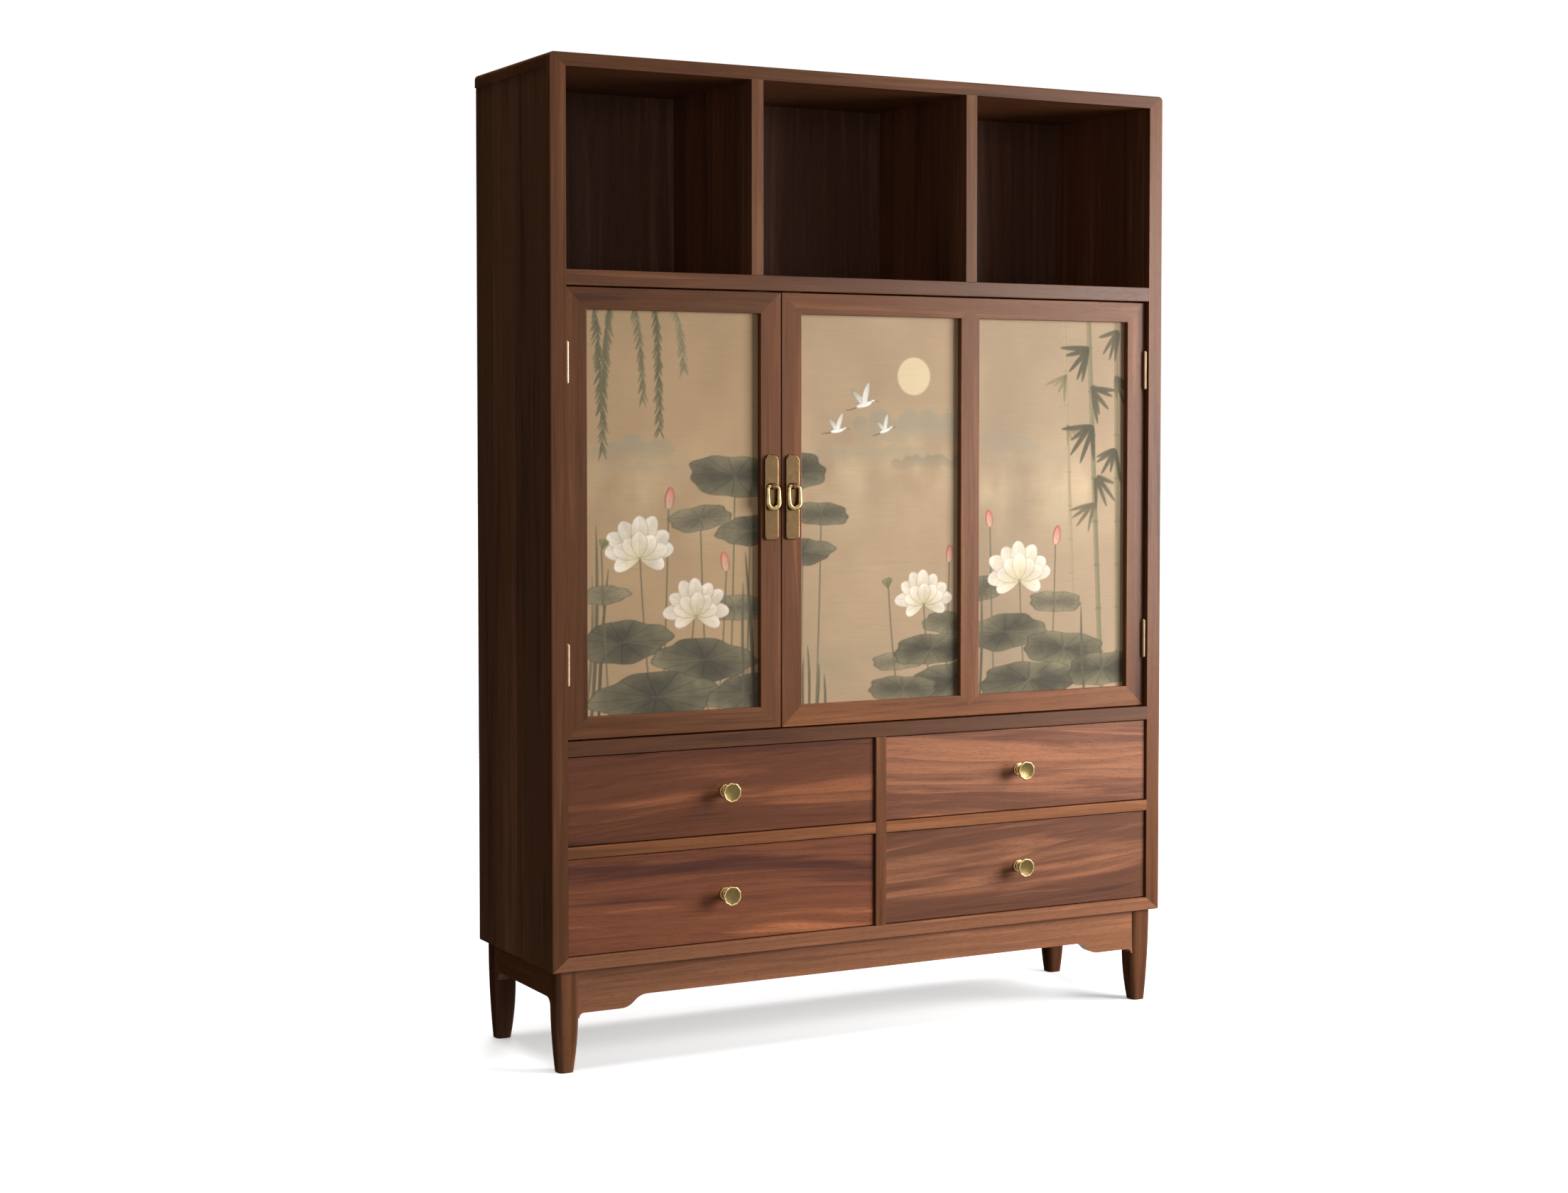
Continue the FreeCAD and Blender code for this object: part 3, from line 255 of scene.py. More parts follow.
staves = make_staves()
paint(wood_material("board_upright", "z", (0.42, 0.31, 0.0), BOARD_WALNUT, shine=0.10, stave=STAVE_WIDTH,
                    warp=BOARD_WARP),
      "left_side_board", "right_side_board", "left_bay_divider", "right_bay_divider")
paint(wood_material("board_across", "x", (0.47, 0.37, 0.0), tone=0.81, shine=0.15, stave=STAVE_WIDTH,
                    warp=BOARD_WARP),
      "top_board", "bottom_board", "display_shelf", "cupboard_floor", "inner_shelf")

# Back panel: a thin board veneered with dark walnut and left dull.
# It slides into grooves round the case before the last board closes it in.
VENEER = ((0.150, 0.072, 0.044), (0.098, 0.045, 0.028), (0.05, 0.023, 0.015))
paint(wood_material("back_veneer", "z", (0.22, 0.2, 0.0), VENEER, shine=0.06), "back_panel")

# Face frame: two walnut stiles and two rails, mitred at the corners and glued to the front of the case.
# The drawer divider is housed between boards, and the drawer rails are tenoned into it and the sides.
# Darker and lighter copies of the same walnut: the darker ones on the left stile and the top rail are
# painted shade, and the lighter ones on the right stile, the drawer divider and the drawer rails are painted
# light and sheen.
upright_walnut = wood_material("upright_walnut", "z", (0.31, 0.24, 0.0), tone=0.68)
painted_light_upright_walnut = wood_material("painted_light_upright_walnut", "z", (0.28, 0.33, 5.0), tone=0.90)
across_walnut = wood_material("across_walnut", "x", (0.36, 0.29, 0.0), tone=0.64, shine=0.13)
painted_light_across_walnut = wood_material("painted_light_across_walnut", "x", (0.30, 0.34, 11.0), tone=1.35)
# The bottom rail takes a lighter copy of the walnut: painted light at the foot of the case.
paint(wood_material("bottom_walnut", "x", (0.35, 0.20, 7.0), BASE_WALNUT, tone=1.6), "bottom_front_rail")
paint(upright_walnut, "front_left_stile")
paint(painted_light_upright_walnut, "front_right_stile", "drawer_divider")
paint(across_walnut, "top_front_rail")
paint(painted_light_across_walnut, "drawer_rails")

# Drawer runners and drawer boxes: a pale waxed hardwood, with its grain from front to back.
# The sides are lapped into the drawer front round a grooved bottom, and the boxes slide on the runners.
LINING = ((0.66, 0.50, 0.33), (0.58, 0.42, 0.27), (0.46, 0.31, 0.19))
paint(wood_material("drawer_lining_wood", "y", (0.2, 0.26, 0.0), LINING, ring_strength=0.3),
      "drawer_runners", "upper_left_drawer_box", "upper_right_drawer_box", "lower_left_drawer_box",
      "lower_right_drawer_box")

# Door frames: walnut stiles, rails and one muntin, grooved for the panels.
# The corners are mitred over hidden tenons, and the muntin runs to a point in each rail.
# The left door takes the darker copies of the walnut and the right door the lighter ones: painted shade on
# the left and painted light and sheen on the right.
paint(wood_material("right_rail_walnut", "x", (0.34, 0.25, 15.0), tone=0.88), "right_door_top_rail")
paint(upright_walnut, "left_door_hinge_stile")
paint(painted_light_upright_walnut, "left_door_meeting_stile", "right_door_meeting_stile", "right_door_muntin",
      "right_door_hinge_stile")
paint(across_walnut, "left_door_top_rail", "left_door_bottom_rail")
paint(painted_light_across_walnut, "right_door_bottom_rail")

# Door panels: silk laid on board and painted with a lotus pond, held in the grooves of the door frames.
# Each panel is a fine grid that carries its picture as a colour at every point, drawn here with a few
# brush shapes. MARGIN is the part hidden in a groove and STEP the drawing's pitch, both in millimetres.
MARGIN = 7.4
STEP = 0.775
WHOLE = (slice(None), slice(None))
SILK_RELIEF = (0.10, 0.0002)

# Each ink at full strength, and as it looks when thinned on the silk
PAD_INK = ((0.268, 0.245, 0.188), (0.62, 0.56, 0.44))
PAD_SHEEN_INK = ((0.515, 0.475, 0.362), (0.68, 0.60, 0.47))
REED_INK = ((0.30, 0.275, 0.205), (0.68, 0.59, 0.46))
TWIG_INK = ((0.38, 0.33, 0.25), (0.70, 0.60, 0.46))
WILLOW_INK = ((0.375, 0.352, 0.25), (0.68, 0.60, 0.46))
CANE_INK = ((0.44, 0.405, 0.30), (0.70, 0.60, 0.46))
CANE_JOINT_INK = ((0.265, 0.24, 0.175), (0.64, 0.55, 0.42))
BAMBOO_LEAF_INK = ((0.285, 0.26, 0.19), (0.68, 0.59, 0.45))
PETAL_INK = ((0.80, 0.52, 0.45), (0.945, 0.915, 0.845))

# Colours that are never thinned, with one for the root and one for the tip of a seed head or pod
PETAL_SHADOW = np.array((0.74, 0.68, 0.53))
STAMEN = (0.80, 0.63, 0.26)
SEED_HEAD = ((0.55, 0.55, 0.30), (0.68, 0.66, 0.36))
SEED_POD = ((0.42, 0.42, 0.28), (0.52, 0.50, 0.33))
STEM = (0.39, 0.36, 0.26)
RIPPLE = (0.50, 0.45, 0.36)
MOONLIGHT = (0.90, 0.82, 0.66)
FEATHER = (0.93, 0.91, 0.86)
WING_TIP = (0.80, 0.77, 0.70)
FAR_WING_TIP = (0.62, 0.58, 0.50)
EGRET_LEG = (0.30, 0.26, 0.22)
EGRET_BILL = (0.42, 0.32, 0.20)

# How far each petal leans in degrees, how many stamens and cane joints there are, and two heights
BACK_PETALS = (-78, 74, -52, 50, -27, 24, -2)
FRONT_PETALS = (-97, 95, -66, 63, -36, 33, 2)
STAMEN_COUNT = 26
CANE_JOINTS = 9
WILLOW_TOP = 668
REED_FOOT = -20


def eased(part):
    """A share from 0 to 1 that starts and ends gently."""
    return part * part * (3 - 2 * part)


def capped(value):
    """A share kept between 0 and 1."""
    return np.clip(value, 0.0, 1.0)


def blend(full, thin, share):
    """A colour or value between thin and full."""
    return np.asarray(full) * share + np.asarray(thin) * (1 - share)


def curve(start, bend, end):
    """Points on a smooth curve from start to end, drawn towards bend."""
    size = math.dist(start, bend) + math.dist(bend, end)
    part = np.linspace(0.0, 1.0, max(int(size / 0.7), 6))[:, None]
    return blend(blend(end, bend, part), blend(bend, start, part), part)


def cloud(dice, shape, cells, octaves):
    """Soft random patches between 0 and 1."""
    total = np.zeros(shape)
    weights = 0.5 ** np.arange(octaves)
    for octave, weight in enumerate(weights):
        knots = dice.random([count * 2 ** octave + 2 for count in cells])
        down, along = [np.linspace(0.0, size - 1.001, count) for size, count in zip(knots.shape, shape)]
        row = down.astype(int)
        column = along.astype(int)
        level = blend(knots[:, column + 1], knots[:, column], eased(along - column))
        total += blend(level[row + 1], level[row], eased(down - row)[:, None]) * weight
    return total / weights.sum()


class Picture:
    """A panel being painted: colours on a fine grid, with places in millimetres from its lower left."""

    def __init__(self, width, height, seed, silk):
        self.dice = np.random.RandomState(seed)
        across, up = [(np.arange(round(size / STEP)) + 0.5) * STEP - MARGIN for size in (width, height)]
        self.x, self.y = np.meshgrid(across, up)
        self.texture = cloud(self.dice, self.x.shape, (24, 12), 4)
        mottle = cloud(self.dice, self.x.shape, (5, 3), 5)
        self.colour = np.array(silk) * (0.93 + 0.14 * mottle)[:, :, None]

    def window(self, x, y, reach):
        """The rows and columns of the grid within reach of a place."""
        def span(middle):
            start = int((middle - reach + MARGIN) / STEP)
            end = int((middle + reach + MARGIN) / STEP) + 1
            return slice(max(start, 0), max(end, 0))

        return span(y), span(x)

    def turned(self, part, x, y, angle):
        """How far each point of a window lies along and across a line from (x, y)."""
        right = self.x[part] - x
        up = self.y[part] - y
        return right * math.cos(angle) + up * math.sin(angle), up * math.cos(angle) - right * math.sin(angle)

    def lay(self, part, cover, tint, strength=1.0):
        """Lays a colour, one for all or one for each point, over a window as far as cover goes."""
        self.colour[part] = blend(tint, self.colour[part], (cover * strength)[:, :, None])

    def stroke(self, points, radii, tint, strength):
        """A brush line through the points, swelling from the first radius to the last."""
        points = np.asarray(points, float)
        cover = np.zeros_like(self.x)
        for (x, y), radius in zip(points, np.linspace(radii[0], radii[1], len(points))):
            spot = self.window(x, y, radius + 1.2)
            gap = np.hypot(self.x[spot] - x, self.y[spot] - y)
            cover[spot] = np.maximum(cover[spot], capped((radius - gap) / STEP + 0.5))
        middle = points.mean(0)
        part = self.window(*middle, np.abs(points - middle).max() + max(radii) + 2.0)
        self.lay(part, cover[part], tint, strength)

    def blade(self, x, y, angle, length, width, bend, fullness, root, tip, rib=0.0, edge=0.0, strength=1.0):
        """A leaf or petal from (x, y), widest at its fullness, with a colour for its root and its tip."""
        part = self.window(x + math.cos(angle) * length / 2, y + math.sin(angle) * length / 2,
                           length * 0.75 + width)
        along, side = self.turned(part, x, y, angle)
        along = along / length
        side = side - bend * length * along * along
        inside = capped(along)
        power = fullness / (1 - fullness)
        swell = inside ** power * (1 - inside) / (fullness ** power * (1 - fullness))
        half = width / 2 * np.sqrt(np.maximum(swell, 0.0))
        cover = capped((half - np.abs(side)) / STEP + 0.5) * ((along > 0.0) & (along < 1.0))
        tint = blend(tip, root, inside[:, :, None])
        shade = 0.90 + 0.2 * self.texture[part]
        if rib:
            line = capped(1.0 - np.abs(side) / 0.7) * (along < 0.9)
            shade = shade * (1 - rib * line) * np.where(side > 0.0, 1.0, 1.0 - 0.35 * rib)
        if edge:
            shade = shade * (1 - edge * capped(1.0 - (half - np.abs(side)) / 1.1))
        self.lay(part, cover, tint * shade[:, :, None], strength)

    def wash(self, low, high, tint, strength, cells=(6, 5)):
        """A soft level band of thin colour, broken by clouds."""
        half = 0.5 * (high - low)
        fade = capped((self.y - low) / half) * capped((high - self.y) / half)
        patches = cloud(self.dice, self.x.shape, cells, 4)
        self.lay(WHOLE, fade * capped(patches * 2.4 - 0.7), tint, strength)

    def moon(self, x, y, radius):
        gap = np.hypot(self.x - x, self.y - y)
        self.lay(WHOLE, capped((radius - gap) / 3.0), MOONLIGHT, 0.65)

    def grove(self, start, end, base, height, tint, strength):
        """A far row of round trees that fades away downwards into mist."""
        crown = np.zeros_like(self.x)
        for place in np.arange(start, end, height * 0.32):
            lift = base + height * (0.35 + 0.5 * self.dice.rand())
            spread = height * (0.30 + 0.22 * self.dice.rand())
            gap = np.hypot((self.x - place) / spread, (self.y - lift) / (spread * 0.9))
            crown = np.maximum(crown, capped((1.0 - gap) * 3.0 + 0.9 * (self.texture - 0.5)))
        self.lay(WHOLE, crown * capped((self.y - base) / (height * 0.8)), tint, strength)

    def pad(self, x, y, wide, tall, turn, shade):
        """A lotus leaf seen from the side: a ragged oval of wet ink with veins from its heart."""
        part = self.window(x, y, wide * 1.15)
        along, up = self.turned(part, x, y, turn)
        way = np.arctan2(up / tall, along / wide)
        reach = np.hypot(along / wide, up / tall)
        phase = self.dice.rand() * 6.0
        rim = 1.0 + 0.06 * np.sin(4 * way + phase) + 0.035 * np.sin(9 * way + 2 * phase)
        rim = rim + 0.05 * (self.texture[part] - 0.5)
        inset = (rim - reach) * tall
        veins = capped(1.0 - np.abs(np.sin(6.5 * way + phase)) * reach * 9.0) * (reach > 0.08)
        border = capped(1.0 - inset / 1.6)
        wet = 0.62 * self.texture[part] + 0.5 * capped(reach / rim) ** 2 - 0.22
        wet = capped(wet + 0.22 * np.sin(way * 2 + phase))
        tint = blend(blend(*PAD_SHEEN_INK, shade), blend(*PAD_INK, shade), wet[:, :, None])
        tint = tint * ((1 - 0.30 * veins) * (1 - 0.35 * border))[:, :, None]
        self.lay(part, capped(inset / STEP * 0.5 + 0.5), tint)

    def stem(self, x, y, foot):
        path = curve((x, y), (x * 0.7 + foot * 0.3, (y - MARGIN) / 2), (foot, -MARGIN))
        self.stroke(path, (1.3, 1.56), STEM, 0.85)

    def lotus(self, x, y, size, blush):
        """A wide-open lotus: a fan of petals behind, a seed head with stamens, and a cup in front."""
        tip = blend(*PETAL_INK, blush)
        for turn in BACK_PETALS:
            lean = turn + self.dice.uniform(-5, 5)
            self.blade(x, y, math.radians(90 - lean), size * self.dice.uniform(0.88, 1.0), size * 0.44,
                       -0.0016 * lean, 0.62, PETAL_SHADOW, tip * 0.97, 0.10, 0.42)
        for _ in range(STAMEN_COUNT):
            lean = self.dice.uniform(-1.0, 1.0)
            rise = 0.50 - 0.12 * lean * lean + self.dice.uniform(-0.05, 0.05)
            path = [(x + size * out * lean, y + size * up)
                    for out, up in ((0.08, 0.2), (0.2, 0.4), (0.33, rise))]
            self.stroke(curve(*path), (0.5, 0.9), STAMEN, 0.85)
        self.blade(x, y + size * 0.12, math.pi / 2, size * 0.36, size * 0.30, 0.0, 0.7, *SEED_HEAD,
                   edge=0.35)
        for turn in FRONT_PETALS:
            lean = turn + self.dice.uniform(-5, 5)
            long = size * self.dice.uniform(0.56, 0.66) * (1.12 if abs(turn) > 60 else 1.0)
            self.blade(x, y - size * 0.04, math.radians(90 - lean), long, size * 0.42, -0.0022 * lean, 0.60,
                       PETAL_SHADOW * 1.05, tip, 0.10, 0.45)

    def bud(self, x, y, size, angle):
        for turn, long, wide, bend, root, tip, rib in (
                (0.16, 1.0, 0.42, -0.12, (0.66, 0.50, 0.38), (0.70, 0.36, 0.31), 0.12),
                (-0.16, 1.0, 0.42, 0.12, (0.70, 0.54, 0.42), (0.76, 0.43, 0.37), 0.12),
                (0.0, 0.94, 0.36, 0.0, (0.80, 0.66, 0.54), (0.80, 0.50, 0.43), 0.10)):
            self.blade(x, y, angle + turn, size * long, size * wide, bend, 0.42, root, tip, rib, 0.30)

    def pod(self, x, y, size, angle):
        self.blade(x, y, angle, size, size * 0.92, 0.0, 0.80, *SEED_POD, 0.15, 0.4)

    def reed(self, x, lean, length, width, bend, shade):
        ink = blend(*REED_INK, shade)
        self.blade(x, REED_FOOT, math.pi / 2 - lean, length, width, bend, 0.35, ink, ink * 1.12, 0.18,
                   strength=0.9)

    def willow(self, x, drift, length, shade):
        path = curve((x, WILLOW_TOP), (x + drift * 0.9, WILLOW_TOP - length * 0.35),
                     (x + drift, WILLOW_TOP - length))
        leaf = blend(*WILLOW_INK, shade)
        self.stroke(path, (0.8, 0.35), blend(*TWIG_INK, shade), 0.85)
        for twig_x, twig_y in path[8::9]:
            for side in (-1, 1):
                angle = -math.pi / 2 + side * self.dice.uniform(0.15, 0.45)
                root = twig_y + self.dice.uniform(-3, 3)
                self.blade(twig_x, root, angle, self.dice.uniform(15, 24), 3.0, side * 0.08, 0.42,
                           leaf, leaf * 1.15, 0.15, strength=0.9)

    def egret(self, x, y, size, turn):
        def at(ahead, above):
            return (x + size * (ahead * math.cos(turn) - above * math.sin(turn)),
                    y + size * (ahead * math.sin(turn) + above * math.cos(turn)))

        def wing(root, lean, long, wide, bend, tip):
            self.blade(*at(*root), turn + lean, size * long, size * wide, bend, 0.40, FEATHER, tip,
                       0.08, 0.40)

        self.stroke(curve(at(-0.28, -0.02), at(-0.55, -0.06), at(-0.80, -0.03)), (0.9, 0.5), EGRET_LEG, 0.9)
        wing((0.02, 0.0), 1.95, 0.78, 0.24, 0.16, FAR_WING_TIP)
        self.blade(*at(-0.34, 0.0), turn, size * 0.72, size * 0.20, 0.03, 0.55, FEATHER, FEATHER, 0.0, 0.35)
        wing((0.04, 0.02), 1.25, 0.86, 0.26, -0.14, WING_TIP)
        self.stroke(curve(at(0.32, 0.02), at(0.46, 0.13), at(0.54, 0.04)), (1.2, 1.0), FEATHER, 1.0)
        self.stroke(curve(at(0.54, 0.04), at(0.62, 0.02), at(0.74, -0.02)), (0.8, 0.3), EGRET_BILL, 1.0)

    def bamboo(self, foot, top, radius, shade):
        ink = blend(*CANE_INK, shade)
        for index in range(CANE_JOINTS):
            start, end = [blend(top, foot, (index + part) / CANE_JOINTS) for part in (0.0, 0.965)]
            self.stroke(np.linspace(start, end, 70), (radius, radius), ink, 0.9)
            sheen = [blend(end, start, part) - (radius * 0.45, 0.0) for part in (0.03, 0.97)]
            self.stroke(np.linspace(*sheen, 70), (radius * 0.25, radius * 0.25), ink * 1.25, 0.5)
            joint = [end + (side * radius * 1.2, 0.6) for side in (-1, 1)]
            self.stroke(np.linspace(*joint, 12), (0.7, 0.7), blend(*CANE_JOINT_INK, shade), 0.95)

    def spray(self, x, y, aim, count, length, shade):
        """A hanging spray of bamboo leaves."""
        ink = blend(*BAMBOO_LEAF_INK, shade)
        for index in range(count):
            spread = (index - (count - 1) / 2) * 0.36 + self.dice.uniform(-0.10, 0.10)
            self.blade(x + self.dice.uniform(-3, 3), y + self.dice.uniform(-3, 3), aim + spread,
                       length * self.dice.uniform(0.72, 1.08), length * 0.15, self.dice.uniform(-0.06, 0.06),
                       0.34, ink, ink * 1.2, 0.16, strength=0.94)

    def ripple(self, x, y, length):
        line = [(x + length * part, y + 1.6 * math.sin(part * 9 + x))
                for part in np.linspace(0, 1, int(length))]
        self.stroke(line, (0.35, 0.6), RIPPLE, 0.40)


# What each picture shows, from the back to the front: a brush shape, then its places and sizes
LEFT_POND = (
    ("wash", (250, 470, (0.80, 0.70, 0.55), 0.5)),
    ("grove", (-20, 150, 402, 46, (0.56, 0.53, 0.45), 0.55), (40, 230, 384, 26, (0.62, 0.56, 0.46), 0.45)),
    ("willow", (18, 10, 170, 1.0), (46, -14, 235, 0.95), (88, 16, 150, 0.8), (126, 8, 205, 1.0),
     (160, 18, 110, 0.6)),
    ("ripple", (20, 236, 90), (120, 222, 70), (30, 206, 60), (220, 190, 70)),
    ("stem", (272, 386, 262), (208, 318, 222), (300, 296, 292)),
    ("pad", (208, 318, 58, 21, 0.10, 0.62), (272, 386, 86, 35, -0.10, 0.95), (300, 296, 62, 24, 0.06, 0.85)),
    ("reed", (10, 0.10, 330, 7, 0.07, 0.8), (24, 0.02, 260, 6, -0.05, 0.95), (-2, 0.16, 250, 6, 0.10, 0.6)),
    ("pad", (34, 196, 46, 15, 0.04, 0.45), (272, 168, 62, 22, -0.05, 0.6)),
    ("stem", (98, 262, 120), (198, 178, 176), (150, 336, 138), (256, 232, 240)),
    ("pad", (66, 118, 88, 34, 0.08, 1.0), (216, 84, 92, 34, -0.08, 1.0)),
    ("lotus", (98, 258, 70, 0.10), (200, 160, 62, 0.18)),
    ("bud", (150, 334, 36, 1.45), (256, 230, 32, 1.75)),
    ("pad", (128, 26, 118, 40, 0.02, 1.0), (300, 26, 80, 30, 0.10, 0.9)),
    ("pod", (30, 268, 20, 1.3)),
    ("stem", (30, 268, 44)),
    ("reed", (292, -0.08, 230, 6, -0.06, 0.85), (308, -0.02, 280, 7, 0.04, 0.9)),
)
MIDDLE_POND = (
    ("wash", (260, 520, (0.81, 0.71, 0.56), 0.5)),
    ("moon", (226, 556, 34)),
    ("grove", (120, 340, 428, 60, (0.55, 0.52, 0.44), 0.6), (40, 260, 404, 30, (0.60, 0.55, 0.45), 0.5),
     (190, 340, 392, 26, (0.50, 0.47, 0.39), 0.5)),
    ("egret", (126, 506, 44, 0.22), (74, 462, 36, 0.12), (168, 462, 32, 0.3)),
    ("stem", (-26, 392, -20), (44, 322, 34), (8, 262, 4)),
    ("pad", (44, 322, 54, 20, -0.08, 0.75), (-26, 392, 80, 34, 0.06, 0.95), (8, 258, 60, 22, 0.05, 0.9)),
    ("ripple", (120, 236, 100), (70, 222, 60), (160, 206, 90), (60, 170, 110), (20, 150, 70), (90, 128, 90)),
    ("wash", (30, 110, (0.56, 0.51, 0.40), 0.5, (10, 4))),
    ("pad", (196, 66, 52, 16, 0.03, 0.5), (300, 128, 56, 20, -0.04, 0.7)),
    ("stem", (246, 172, 262), (298, 236, 290), (176, 190, 196)),
    ("pod", (176, 188, 22, 1.75)),
    ("pad", (262, 84, 76, 27, 0.06, 1.0)),
    ("lotus", (246, 166, 60, 0.12)),
    ("bud", (298, 234, 30, 1.5)),
    ("pad", (310, 30, 84, 30, 0.05, 1.0), (206, 18, 70, 22, -0.04, 0.85)),
    ("reed", (20, 0.06, 120, 5, 0.08, 0.85), (34, 0.16, 90, 5, 0.1, 0.85), (10, -0.06, 100, 5, -0.06, 0.85),
     (52, 0.02, 70, 5, 0.05, 0.85)),
)
RIGHT_POND = (
    ("wash", (240, 480, (0.82, 0.73, 0.58), 0.5)),
    ("grove", (-20, 130, 412, 44, (0.57, 0.53, 0.45), 0.5), (30, 200, 396, 26, (0.61, 0.56, 0.46), 0.45)),
    ("bamboo", ((206, 150), (184, 690), 3.2, 0.45)),
    ("spray", (190, 560, -2.2, 4, 46, 0.5), (194, 470, -0.9, 4, 44, 0.5)),
    ("ripple", (120, 232, 90), (60, 214, 60), (150, 196, 70)),
    ("bamboo", ((268, -10), (236, 690), 5.0, 0.95), ((304, -10), (296, 690), 4.2, 0.8)),
    ("spray", (238, 610, -2.4, 5, 62, 1.0), (244, 540, -0.8, 5, 60, 0.95), (246, 470, -2.3, 5, 66, 1.0),
     (296, 560, -1.0, 4, 52, 0.8), (298, 430, -2.1, 5, 58, 0.95), (254, 380, -1.0, 4, 56, 0.9),
     (250, 330, -2.5, 4, 52, 0.7), (300, 640, -2.2, 4, 54, 0.9)),
    ("pad", (168, 158, 56, 19, -0.05, 0.6), (16, 186, 56, 21, 0.08, 0.75)),
    ("stem", (92, 206, 104), (168, 262, 158), (30, 296, 40)),
    ("pad", (62, 108, 84, 31, 0.05, 1.0), (186, 74, 86, 30, -0.08, 0.95)),
    ("lotus", (92, 202, 72, 0.14)),
    ("bud", (168, 260, 34, 1.4), (30, 294, 30, 1.7)),
    ("pad", (112, 20, 104, 34, 0.03, 1.0), (270, 34, 76, 30, 0.06, 1.0)),
    ("reed", (8, 0.08, 210, 6, 0.06, 0.9), (232, -0.10, 170, 6, -0.05, 0.9)),
)


def make_silk():
    """Plain-woven silk: fine threads both ways that shade and roughen the painted colour."""
    tree, given, result = new_group("silk_weave", {"Vector": "Vector", "Paint": "Color"},
                                    {"Color": "Color", "Height": "Float"})
    warp, weft = [add(tree, "ShaderNodeTexWave",
                      {"Vector": given["Vector"], "Scale": 420.0, "Distortion": 1.5, "Detail": 1.0,
                       "Detail Scale": 0.4}, wave_type="BANDS", bands_direction=way)["Fac"] for way in "XZ"]
    weave = maths(tree, "ADD", warp, weft)
    slubs = vectors(tree, "MULTIPLY", given["Vector"], (0.04, 1.0, 1.0))
    slubs = add(tree, "ShaderNodeTexNoise", {"Vector": slubs, "Scale": 500.0, "Detail": 2.0})["Fac"]
    shade = maths(tree, "MULTIPLY", step(tree, weave, 0.0, 2.0, 0.97, 1.02),
                  step(tree, slubs, 0.3, 0.7, 0.975, 1.025))
    connect(tree, result, {"Color": scaled(tree, given["Paint"], shade), "Height": weave})
    return tree


panel_silk, silk_tree, silk_shader = new_material("panel_silk")
silk_place = add(silk_tree, "ShaderNodeTexCoord", {})["Object"]
silk_paint = add(silk_tree, "ShaderNodeAttribute", {}, attribute_name="painting")["Color"]
silk_look = add(silk_tree, "ShaderNodeGroup", {"Vector": silk_place, "Paint": silk_paint},
                node_tree=make_silk())
dress(silk_tree, silk_shader, silk_look, SILK_RELIEF, {"Roughness": 0.7, "Specular IOR Level": 0.25})


def show(name, data):
    """An object in the scene, at the origin."""
    item = bpy.data.objects.new(name, data)
    bpy.context.scene.collection.objects.link(item)
    return item


def make_piece(name, points, faces, *materials):
    """An object with a mesh of its own."""
    mesh = bpy.data.meshes.new(name)
    mesh.from_pydata(points, [], faces)
    for material in materials:
        mesh.materials.append(material)
    return show(name, mesh)


def painted_panel(name, low, high, colours):
    """A closed board whose front is a grid with one colour at each corner, given as a screen shows it."""
    rows, columns = colours.shape[:2]
    across, up = np.meshgrid(np.linspace(low.x, high.x, columns), np.linspace(low.z, high.z, rows))
    points = np.stack([across.ravel(), np.full(across.size, low.y), up.ravel()], 1).tolist()
    first = len(points)
    back = ((low.x, low.z), (high.x, low.z), (high.x, high.z), (low.x, high.z))
    points += [(x, high.y, z) for x, z in back]
    number = np.arange(first).reshape(rows, columns)
    quads = np.stack([number[:-1, :-1], number[:-1, 1:], number[1:, 1:], number[1:, :-1]], 2)
    faces = quads.reshape(-1, 4).tolist()
    for rim, start, end in ((number[0, ::-1], 0, 1), (number[-1], 2, 3), (number[:, 0], 3, 0),
                            (number[::-1, -1], 1, 2)):
        faces.append(rim.tolist() + [first + start, first + end])
    faces.append([first + 1, first, first + 3, first + 2])
    panel = make_piece(name, points, faces, panel_silk)
    linear = np.where(colours <= 0.04045, colours / 12.92, ((colours + 0.055) / 1.055) ** 2.4).reshape(-1, 3)
    values = np.concatenate([linear, np.tile(linear.mean(0), (4, 1))])
    values = np.concatenate([values, np.ones((len(values), 1))], 1)
    paint_layer = panel.data.color_attributes.new("painting", "FLOAT_COLOR", "POINT")
    paint_layer.data.foreach_set("color", values.ravel().astype(np.float32))
    return panel


PANELS = (
    ("left_door_panel", "left_door", 11, (0.655, 0.540, 0.402), LEFT_POND),
    ("right_door_inner_panel", "right_door", 23, (0.650, 0.548, 0.428), MIDDLE_POND),
    ("right_door_outer_panel", "right_door", 37, (0.620, 0.528, 0.422), RIGHT_POND),
)
for node, body, seed, silk, pond in PANELS:
    low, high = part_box(node)
    art = Picture((high.x - low.x) * 1000, (high.z - low.z) * 1000, seed, silk)
    for brush, *places in pond:
        for place in places:
            getattr(art, brush)(*place)
    # The panel's grid is half as fine as the drawing
    rows, columns = [count // 2 for count in art.x.shape]
    fine = capped(art.colour[:rows * 2, :columns * 2])
    colours = fine.reshape(rows, 2, columns, 2, 3).mean((1, 3))
    painted = painted_panel("painted_" + node, low, high, colours)
    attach(painted, body)
    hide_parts(node)

# Door catches: a magnet in a case of matt brown plastic, one for each door.
# They are fixed under the display shelf, just behind the top rails of the doors.
paint(plain_material("catch_plastic", {"Base Color": (0.16, 0.10, 0.07, 1.0), "Roughness": 0.6}),
      "door_catches")

# Hinges and shelf pins: brushed brass. The leaves are let into the case and the doors and roll round a
# loose pin, and the shelf pins push into holes in the sides. The tarnish group clouds every brass piece.
BRUSH_LINES = (0.03, 1800.0, 1.0)
AGE_ROUGHNESS = 0.14
LINE_ROUGHNESS = 0.06
BRASS_RELIEF = (0.06, 0.0002)


